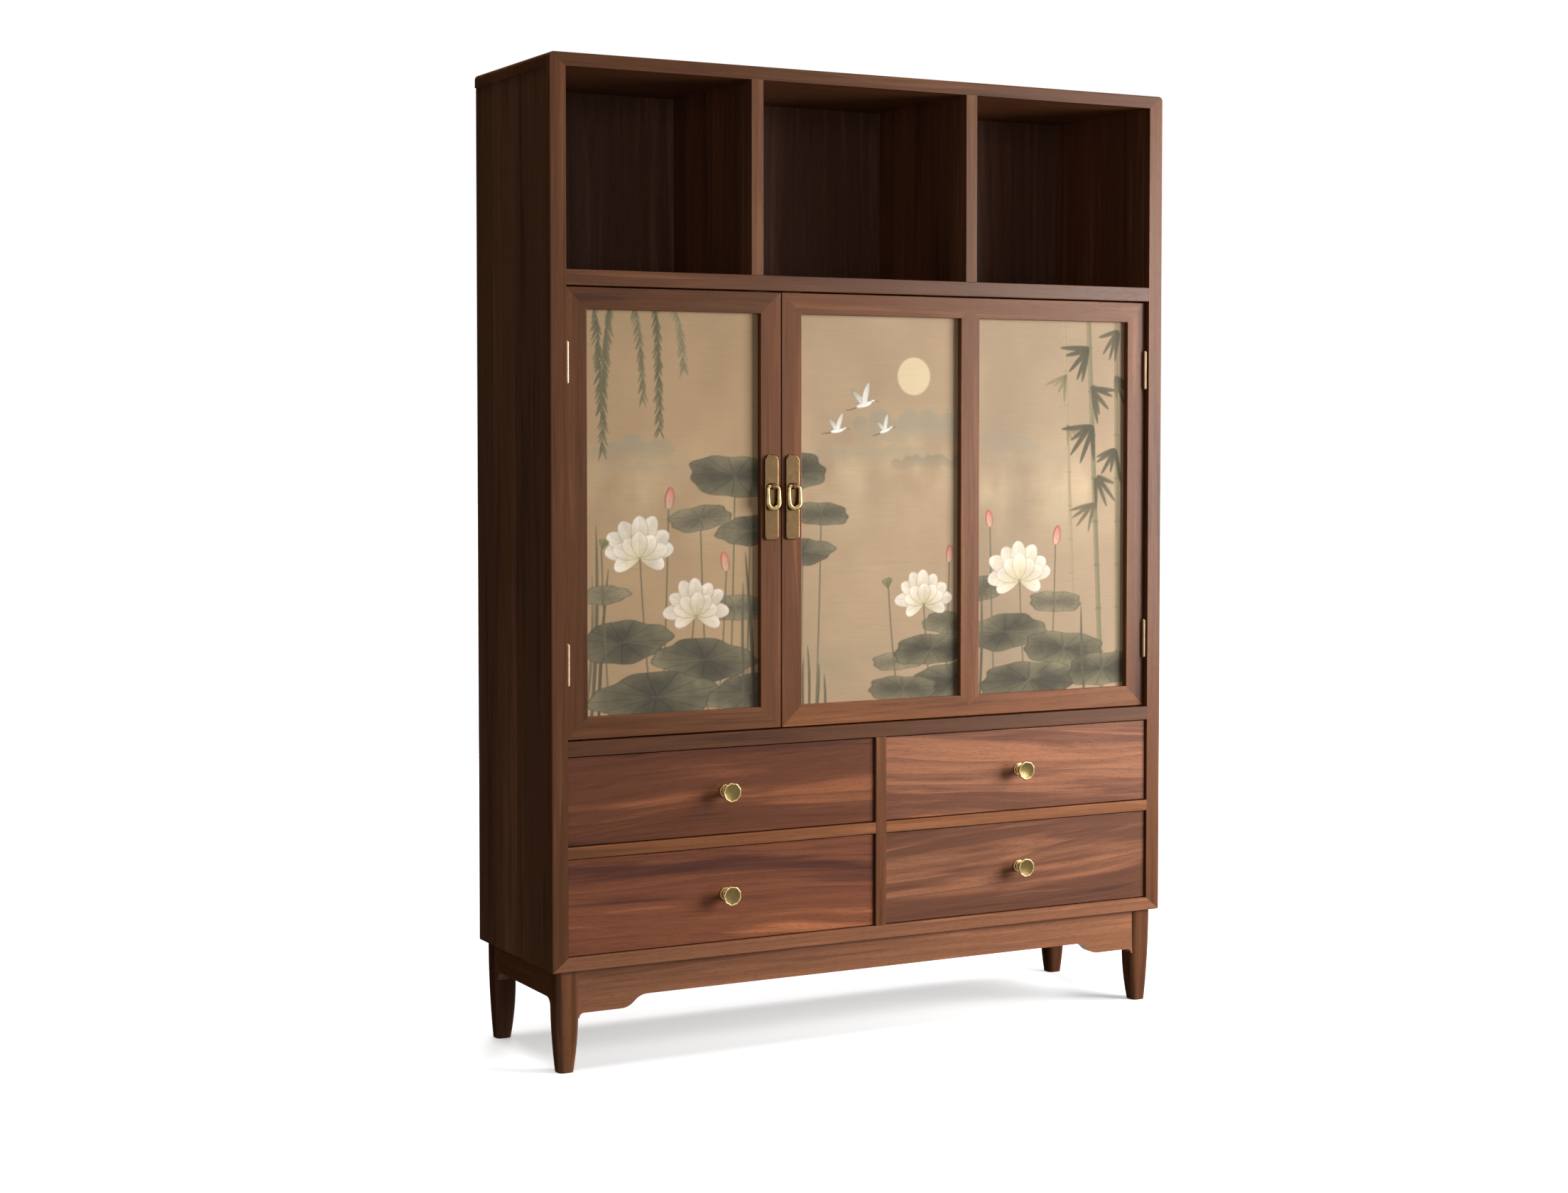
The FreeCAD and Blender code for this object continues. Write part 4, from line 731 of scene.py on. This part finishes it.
def make_tarnish():
    tree, given, result = new_group(
        "tarnish",
        {"Vector": "Vector", "Bright": "Color", "Dull": "Color", "Amount": "Float", "Polish": "Float"},
        {"Color": "Color", "Roughness": "Float", "Height": "Float"})
    clouds = add(tree, "ShaderNodeTexNoise",
                 {"Vector": given["Vector"], "Scale": 70.0, "Detail": 5.0, "Roughness": 0.6})["Fac"]
    lines = stretched_noise(tree, given["Vector"], *BRUSH_LINES)["Fac"]
    age = maths(tree, "MULTIPLY", step(tree, clouds, 0.40, 0.66), given["Amount"])
    rough = maths(tree, "MULTIPLY_ADD", age, AGE_ROUGHNESS, given["Polish"])
    rough = maths(tree, "MULTIPLY_ADD", lines, LINE_ROUGHNESS, rough)
    connect(tree, result, {"Color": mix(tree, age, given["Bright"], given["Dull"]), "Roughness": rough,
                           "Height": lines})
    return tree


tarnish = make_tarnish()


def brass_material(name, bright, dull, amount, polish):
    """Brass that dulls in clouds; amount is how far it has aged and polish how rough it is when bright."""
    material, tree, shader = new_material(name)
    place = add(tree, "ShaderNodeTexCoord", {})["Object"]
    look = add(tree, "ShaderNodeGroup",
               {"Vector": place, "Bright": (*bright, 1.0), "Dull": (*dull, 1.0), "Amount": amount,
                "Polish": polish}, node_tree=tarnish)
    dress(tree, shader, look, BRASS_RELIEF, {"Roughness": look["Roughness"], "Metallic": 1.0})
    return material


hinge_brass = brass_material("hinge_brass", (0.29, 0.204, 0.124), (0.195, 0.131, 0.075), 0.5, 0.26)
paint(hinge_brass, "case_hinge_leaves", "hinge_pins", "left_door_hinge_leaves", "right_door_hinge_leaves",
      "shelf_pins")

# Hinge screws: slotted brass screws, three to a leaf, in a staggered row.
# The heads are grown on points by geometry nodes, each with its slot turned its own way.
HINGE_FROM_DOOR_END = 0.122
DOOR_GAP = 0.002
SCREW_RADIUS = 0.0032
SCREW_HEIGHT = 0.0011
SCREW_SINK = 0.0007
SCREW_SPACING = 0.022
SCREW_ROW = -0.130
SCREW_STAGGER = 0.003
SCREW_SEED = 3
SCREW_SIDES = 28

# Shares of the screw's radius
SCREW_TOP = 0.84
SLOT_LENGTH = 2.4
SLOT_WIDTH = 0.26


def make_screws():
    tree, given, result = new_group(
        "slotted_screws",
        {"Geometry": "Geometry", "Radius": "Float", "Height": "Float", "Facing": "Vector", "Seed": "Int",
         "Material": "Material"},
        {"Geometry": "Geometry"}, "GeometryNodeTree")
    radius = given["Radius"]
    height = given["Height"]
    top, length, width = [maths(tree, "MULTIPLY", radius, share)
                          for share in (SCREW_TOP, SLOT_LENGTH, SLOT_WIDTH)]
    head = add(tree, "GeometryNodeMeshCone", {"Vertices": SCREW_SIDES, "Radius Top": top,
                                              "Radius Bottom": radius, "Depth": height})["Mesh"]
    slot_size = add(tree, "ShaderNodeCombineXYZ", {0: length, 1: width, 2: height})[0]
    slot_place = add(tree, "ShaderNodeCombineXYZ", {2: height})[0]
    slot = add(tree, "GeometryNodeMeshCube", {"Size": slot_size})["Mesh"]
    slot = add(tree, "GeometryNodeTransform", {"Geometry": slot, "Translation": slot_place})["Geometry"]
    head = add(tree, "GeometryNodeMeshBoolean", {"Mesh 1": head, "Mesh 2": slot},
               operation="DIFFERENCE")["Mesh"]
    points = add(tree, "GeometryNodeMeshToPoints", {"Mesh": given["Geometry"]})["Points"]
    facing = add(tree, "FunctionNodeEulerToRotation", {"Euler": given["Facing"]})[0]
    heads = add(tree, "GeometryNodeInstanceOnPoints",
                {"Points": points, "Instance": head, "Rotation": facing})["Instances"]
    chance = add(tree, "FunctionNodeRandomValue", {2: 0.0, 3: math.pi, 8: given["Seed"]},
                 data_type="FLOAT")[1]
    spin = add(tree, "ShaderNodeCombineXYZ", {2: chance})[0]
    spin = add(tree, "FunctionNodeEulerToRotation", {"Euler": spin})[0]
    heads = add(tree, "GeometryNodeRotateInstances",
                {"Instances": heads, "Rotation": spin, "Local Space": True})["Instances"]
    heads = add(tree, "GeometryNodeRealizeInstances", {"Geometry": heads})["Geometry"]
    heads = add(tree, "GeometryNodeSetMaterial", {"Geometry": heads, "Material": given["Material"]})
    connect(tree, result, {"Geometry": heads["Geometry"]})
    return tree


def grow(name, points, tree, values):
    """A piece that a geometry tree grows on the points, made into a plain mesh."""
    bed = make_piece(name + "_seeds", points, [])
    modifier = bed.modifiers.new("grow", "NODES")
    modifier.node_group = tree
    for item in tree.interface.items_tree:
        if item.name in values:
            modifier[item.identifier] = values[item.name]
    view = bpy.context.evaluated_depsgraph_get()
    shape = bpy.data.meshes.new_from_object(bed.evaluated_get(view))
    bpy.data.objects.remove(bed)
    return show(name, shape)


screws = make_screws()
for number, side in enumerate(("left", "right")):
    low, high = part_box(side + "_door_hinge_stile")
    outward = -1.0 if side == "left" else 1.0
    door_edge = low.x if side == "left" else high.x
    heights = [centre + SCREW_SPACING * place
               for centre in (low.z + HINGE_FROM_DOOR_END, high.z - HINGE_FROM_DOOR_END)
               for place in (-1, 0, 1)]
    for body, edge, facing in ((side + "_door", door_edge, outward),
                               ("carcass", door_edge + outward * DOOR_GAP, -outward)):
        spots = [(edge - facing * SCREW_SINK, SCREW_ROW + SCREW_STAGGER * (-1) ** place, height)
                 for place, height in enumerate(heights)]
        heads = grow(side + "_hinge_screws_" + body, spots, screws,
                     {"Radius": SCREW_RADIUS, "Height": SCREW_HEIGHT,
                      "Facing": (0.0, facing * math.pi / 2, 0.0), "Seed": SCREW_SEED + number,
                      "Material": hinge_brass})
        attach(heads, body)

# Handle plates: cast brass with rounded ends and an eye for the ring, dull with age.
# Two studs behind each plate are driven into the meeting stile.
aged_brass = brass_material("aged_brass", (0.162, 0.098, 0.046), (0.098, 0.059, 0.028), 0.8, 0.17)
paint(aged_brass, "left_handle_plate", "right_handle_plate")

# Ring pulls: forged brass, threaded through the eyes of the plates and closed there.
# The wire swells to the foot, hangs a little forward and is rubbed bright by hands. Millimetres.
ring_brass = brass_material("ring_brass", (0.36, 0.245, 0.108), (0.19, 0.12, 0.052), 0.7, 0.20)
BAR_RADIUS = 3.0
SWELL = 1.3
LEAN = 1.6
SHOULDER_RADIUS = 6.0
WIRE_SIDES = 20
SHOULDER_POINTS = 9
SIDE_POINTS = 10
FOOT_POINTS = 31


def bow(centre, radius, start, end, count):
    """Points round an arc, from start to end in degrees."""
    turns = np.radians(np.linspace(start, end, count))
    return [(centre[0] + radius * math.cos(turn), centre[1] + radius * math.sin(turn)) for turn in turns]


def ring_path(half_width, drop):
    """The middle line of the ring, from the right end of its bar round to the left end."""
    bar = half_width - SHOULDER_RADIUS
    foot = half_width - drop
    side = np.linspace(-SHOULDER_RADIUS, foot, SIDE_POINTS)[1:-1]
    path = bow((bar, -SHOULDER_RADIUS), SHOULDER_RADIUS, 90, 0, SHOULDER_POINTS)
    path += [(half_width, height) for height in side]
    path += bow((0.0, foot), half_width, 0, -180, FOOT_POINTS)
    path += [(-half_width, height) for height in side[::-1]]
    path += bow((-bar, -SHOULDER_RADIUS), SHOULDER_RADIUS, 180, 90, SHOULDER_POINTS)
    return path


def skin(rings):
    """Faces from each ring of point numbers to the next; a ring may be one point over and over."""
    faces = []
    for inner, outer in zip(rings, rings[1:]):
        corners = zip(inner, inner[1:] + inner[:1], outer[1:] + outer[:1], outer)
        faces += [list(dict.fromkeys(face)) for face in corners]
    return faces


def forged_ring(name, low, high):
    """A closed loop of round wire in the box from low to high, hung from its top bar."""
    half_width = (high.x - low.x) * 500 - BAR_RADIUS
    drop = (high.z - low.z) * 1000 - 2 * BAR_RADIUS
    axis = Vector(((low.x + high.x) / 2, high.y - BAR_RADIUS / 1000, high.z - BAR_RADIUS / 1000))
    path = ring_path(half_width, drop)
    points = []
    for index, (x, z) in enumerate(path):
        ahead = path[(index + 1) % len(path)]
        behind = path[index - 1]
        way = Vector((ahead[0] - behind[0], 0.0, ahead[1] - behind[1])).normalized()
        out = Vector((way.z, 0.0, -way.x))
        depth = -z / drop
        radius = BAR_RADIUS + SWELL * eased(depth)
        middle = Vector((x, -LEAN * depth, z))
        for side in range(WIRE_SIDES):
            turn = 2 * math.pi * side / WIRE_SIDES
            place = middle + out * (radius * math.cos(turn)) + Vector((0.0, radius * math.sin(turn), 0.0))
            points.append(axis + place / 1000)
    rings = np.arange(len(points)).reshape(-1, WIRE_SIDES).tolist()
    ring = make_piece(name, points, skin(rings + rings[:1]), ring_brass)
    ring.data.shade_smooth()
    return ring


for side in ("left", "right"):
    low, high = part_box(side + "_ring_pull")
    ring = forged_ring("forged_" + side + "_ring", low, high)
    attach(ring, side + "_ring")
    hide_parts(side + "_ring_pull")

# Drawer fronts: strongly figured walnut, one flowing board to each drawer.
# The sides of the box are let into its back. Each front has its own heart, tilt of the grain and tone.
RED_FIGURE = ((0.37, 0.130, 0.056), (0.172, 0.057, 0.027), (0.066, 0.022, 0.014))
PINK_FIGURE = ((0.385, 0.155, 0.078), (0.165, 0.063, 0.034), (0.070, 0.028, 0.020))
DRAWER_FIGURE = {
    "upper_left": (RED_FIGURE, (0.202, -0.010, 31.5), (0.053, 0.029), 0.76),
    "upper_right": (PINK_FIGURE, (0.258, -0.360, 14.7), (-0.040, -0.043), 0.90),
    "lower_left": (RED_FIGURE, (0.424, 0.074, 0.42), (0.035, -0.016), 1.20),
    "lower_right": (PINK_FIGURE, (0.384, -0.585, 9.0), (-0.026, 0.050), 0.82),
}
for place, (figure, pith, tilt, tone) in DRAWER_FIGURE.items():
    figured = wood_material("figured_" + place, "x", pith, figure, tone, tilt=tilt, rings=48.0, warp=0.10,
                            band_scale=7.0, band_weight=0.58)
    paint(figured, place + "_drawer_front")

# Knobs: turned brass on a stud let into each drawer front, with soft flats hammered round the head.
# The rim is rubbed bright, and the shallow dish of the face has kept its olive patina. Millimetres.
knob_brass = brass_material("knob_brass", (0.50, 0.36, 0.17), (0.30, 0.20, 0.09), 0.7, 0.20)
knob_patina = brass_material("knob_patina", (0.150, 0.106, 0.040), (0.095, 0.064, 0.026), 0.7, 0.24)
KNOB_RADIUS = 16.5
KNOB_LENGTH = 27.0
NECK_RADIUS = 6.0
NECK_FILLET = 1.0
ROSE_RADIUS = 11.0
ROSE_THICKNESS = 2.5
STUD_RADIUS = 2.5
STUD_LENGTH = 12.0
FLARE = 9.0
RIM = 1.5
DISH_DEPTH = 1.2
DISH_RINGS = (0.85, 0.7, 0.5, 0.3, 0.12, 0.0)
FLATS = 9
FLAT_DEPTH = 0.05
KNOB_SIDES = 72
KNOB_CREASE = math.radians(50.0)


def knob_profile():
    """The knob's outline as (distance from its axis, height above the drawer), and where the dish begins."""
    edge = ROSE_THICKNESS / 2
    outline = [(0.0, -STUD_LENGTH), (STUD_RADIUS, -STUD_LENGTH), (STUD_RADIUS, 0.0), (ROSE_RADIUS, 0.0)]
    outline += bow((ROSE_RADIUS - edge, edge), edge, 0, 90, 6)
    outline += bow((NECK_RADIUS + NECK_FILLET, ROSE_THICKNESS + NECK_FILLET), NECK_FILLET, 270, 180, 5)
    spread = KNOB_RADIUS - NECK_RADIUS
    sweep = (spread ** 2 + FLARE ** 2) / (2 * spread)
    flare_foot = KNOB_LENGTH - 2 * RIM - FLARE
    flare_end = math.degrees(math.atan2(FLARE, spread - sweep))
    outline += bow((NECK_RADIUS + sweep, flare_foot), sweep, 180, flare_end, 14)
    outline += bow((KNOB_RADIUS - RIM, KNOB_LENGTH - RIM), RIM, -20, 160, 14)
    dish_start = len(outline) - 1
    dish_radius, dish_rim = outline[-1]
    outline += [(dish_radius * part, dish_rim - DISH_DEPTH * (1 - part * part)) for part in DISH_RINGS]
    return outline, dish_start


def turned_knob(name, centre):
    """A knob turned about the Y axis, standing out from the drawer front at centre."""
    outline, dish_start = knob_profile()
    points = []
    rings = []
    for distance, rise in outline:
        count = KNOB_SIDES if distance else 1
        rings.append([len(points) + this % count for this in range(KNOB_SIDES)])
        past_neck = max(distance - NECK_RADIUS, 0.0) if rise > ROSE_THICKNESS else 0.0
        share = past_neck / (KNOB_RADIUS - NECK_RADIUS)
        for turn in np.linspace(0.0, 2 * math.pi, count, endpoint=False):
            reach = distance * (1 - FLAT_DEPTH * share * (1 + math.cos(FLATS * turn)) / 2) / 1000
            points.append((centre.x + reach * math.cos(turn), centre.y - rise / 1000,
                           centre.z + reach * math.sin(turn)))
    knob = make_piece(name, points, skin(rings), knob_brass, knob_patina)
    in_dish = np.arange(len(knob.data.polygons)) >= dish_start * KNOB_SIDES
    knob.data.polygons.foreach_set("material_index", in_dish.astype(np.int32))
    knob.data.shade_smooth()
    knob.data.set_sharp_from_angle(angle=KNOB_CREASE)
    return knob


for place in DRAWER_FIGURE:
    low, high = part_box(place + "_knob")
    middle = (low + high) / 2
    seat = Vector((middle.x, low.y + KNOB_LENGTH / 1000, middle.z))
    knob = turned_knob("turned_" + place + "_knob", seat)
    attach(knob, place + "_drawer")
    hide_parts(place + "_knob")

# Floor, light and camera: a pale floor, a broad lamp from the right, weaker ones from the front and the
# rear, an overhead sun that whitens the floor, and an even, dim surround. A black cloth stands out of
# sight behind the left side, so that the side mirrors dark and not the white surround.
FLOOR_REACH = 30.0
FLOOR_GLOW = 0.3
CLOTH_LEFT = Vector((-5.0, 2.5, 0.0))
CLOTH_RIGHT = Vector((0.5, 4.8, 0.0))
CLOTH_DROP = Vector((0.0, 0.0, 3.0))
WHITE = (1.0, 1.0, 1.0, 1.0)
ONE_FACE = [(0, 1, 2, 3)]
pale_floor, floor_tree, floor_shader = new_material("pale_floor")
floor_rays = add(floor_tree, "ShaderNodeLightPath", {})
connect(floor_tree, floor_shader,
        {"Base Color": (0.86, 0.855, 0.85, 1.0), "Roughness": 0.9, "Emission Color": WHITE,
         "Emission Strength": maths(floor_tree, "MULTIPLY", floor_rays["Is Camera Ray"], FLOOR_GLOW)})
corners = [(x * FLOOR_REACH, y * FLOOR_REACH, 0.0) for x, y in ((-1, -1), (1, -1), (1, 1), (-1, 1))]
floor = make_piece("floor", corners, ONE_FACE, pale_floor)
floor.visible_diffuse = False
floor.visible_glossy = False

black_cloth = plain_material("black_cloth",
                             {"Base Color": (0.004, 0.004, 0.004, 1.0), "Specular IOR Level": 0.0})
corners = [CLOTH_LEFT - CLOTH_DROP, CLOTH_RIGHT - CLOTH_DROP, CLOTH_RIGHT + 2 * CLOTH_DROP,
           CLOTH_LEFT + 2 * CLOTH_DROP]
flag = make_piece("dark_flag", corners, ONE_FACE, black_cloth)
flag.visible_camera = False
flag.visible_shadow = False

# Each lamp: its place, what it points at, its width, height and power
LAMPS = {
    "key": ((2.25, -1.75, 1.15), (0.0, -0.1, 0.8), 1.6, 1.5, 146.0),
    "rear_fill": ((1.4, 3.6, 1.6), (0.1, 0.2, 0.8), 1.5, 1.5, 80.0),
    "front_fill": ((-1.9, -4.9, 1.5), (0.0, 0.0, 1.0), 2.0, 2.0, 30.0),
}
for name, (place, target, width, height, power) in LAMPS.items():
    light = bpy.data.lights.new(name, "AREA")
    light.shape = "RECTANGLE"
    light.size = width
    light.size_y = height
    light.energy = power
    lamp = show(name, light)
    lamp.location = place
    lamp.rotation_euler = (Vector(target) - Vector(place)).to_track_quat("-Z", "Y").to_euler()
sun = bpy.data.lights.new("overhead", "SUN")
sun.energy = 2.6
sun.angle = math.radians(34.0)
show("overhead", sun)

scene = bpy.context.scene
world = bpy.data.worlds.new("studio")
scene.world = world
world.use_nodes = True
sky = world.node_tree
sky.nodes.clear()
rays = add(sky, "ShaderNodeLightPath", {})
plain = maths(sky, "MAXIMUM", rays["Is Camera Ray"], rays["Is Glossy Ray"])
lit = add(sky, "ShaderNodeBackground", {"Color": WHITE, "Strength": 0.11})[0]
white = add(sky, "ShaderNodeBackground", {"Color": WHITE, "Strength": 1.0})[0]
seen = add(sky, "ShaderNodeMixShader", {0: plain, 1: lit, 2: white})[0]
add(sky, "ShaderNodeOutputWorld", {"Surface": seen})

camera_data = bpy.data.cameras.new("camera")
camera_data.sensor_width = 36.0
camera_data.lens = 58.453
camera_data.shift_y = -0.045
camera = show("camera", camera_data)
camera.location = (-2.190, -3.913, 1.0416)
camera.rotation_euler = (math.radians(87.857), 0.0, math.radians(-28.147))
scene.camera = camera
scene.view_settings.view_transform = "Standard"
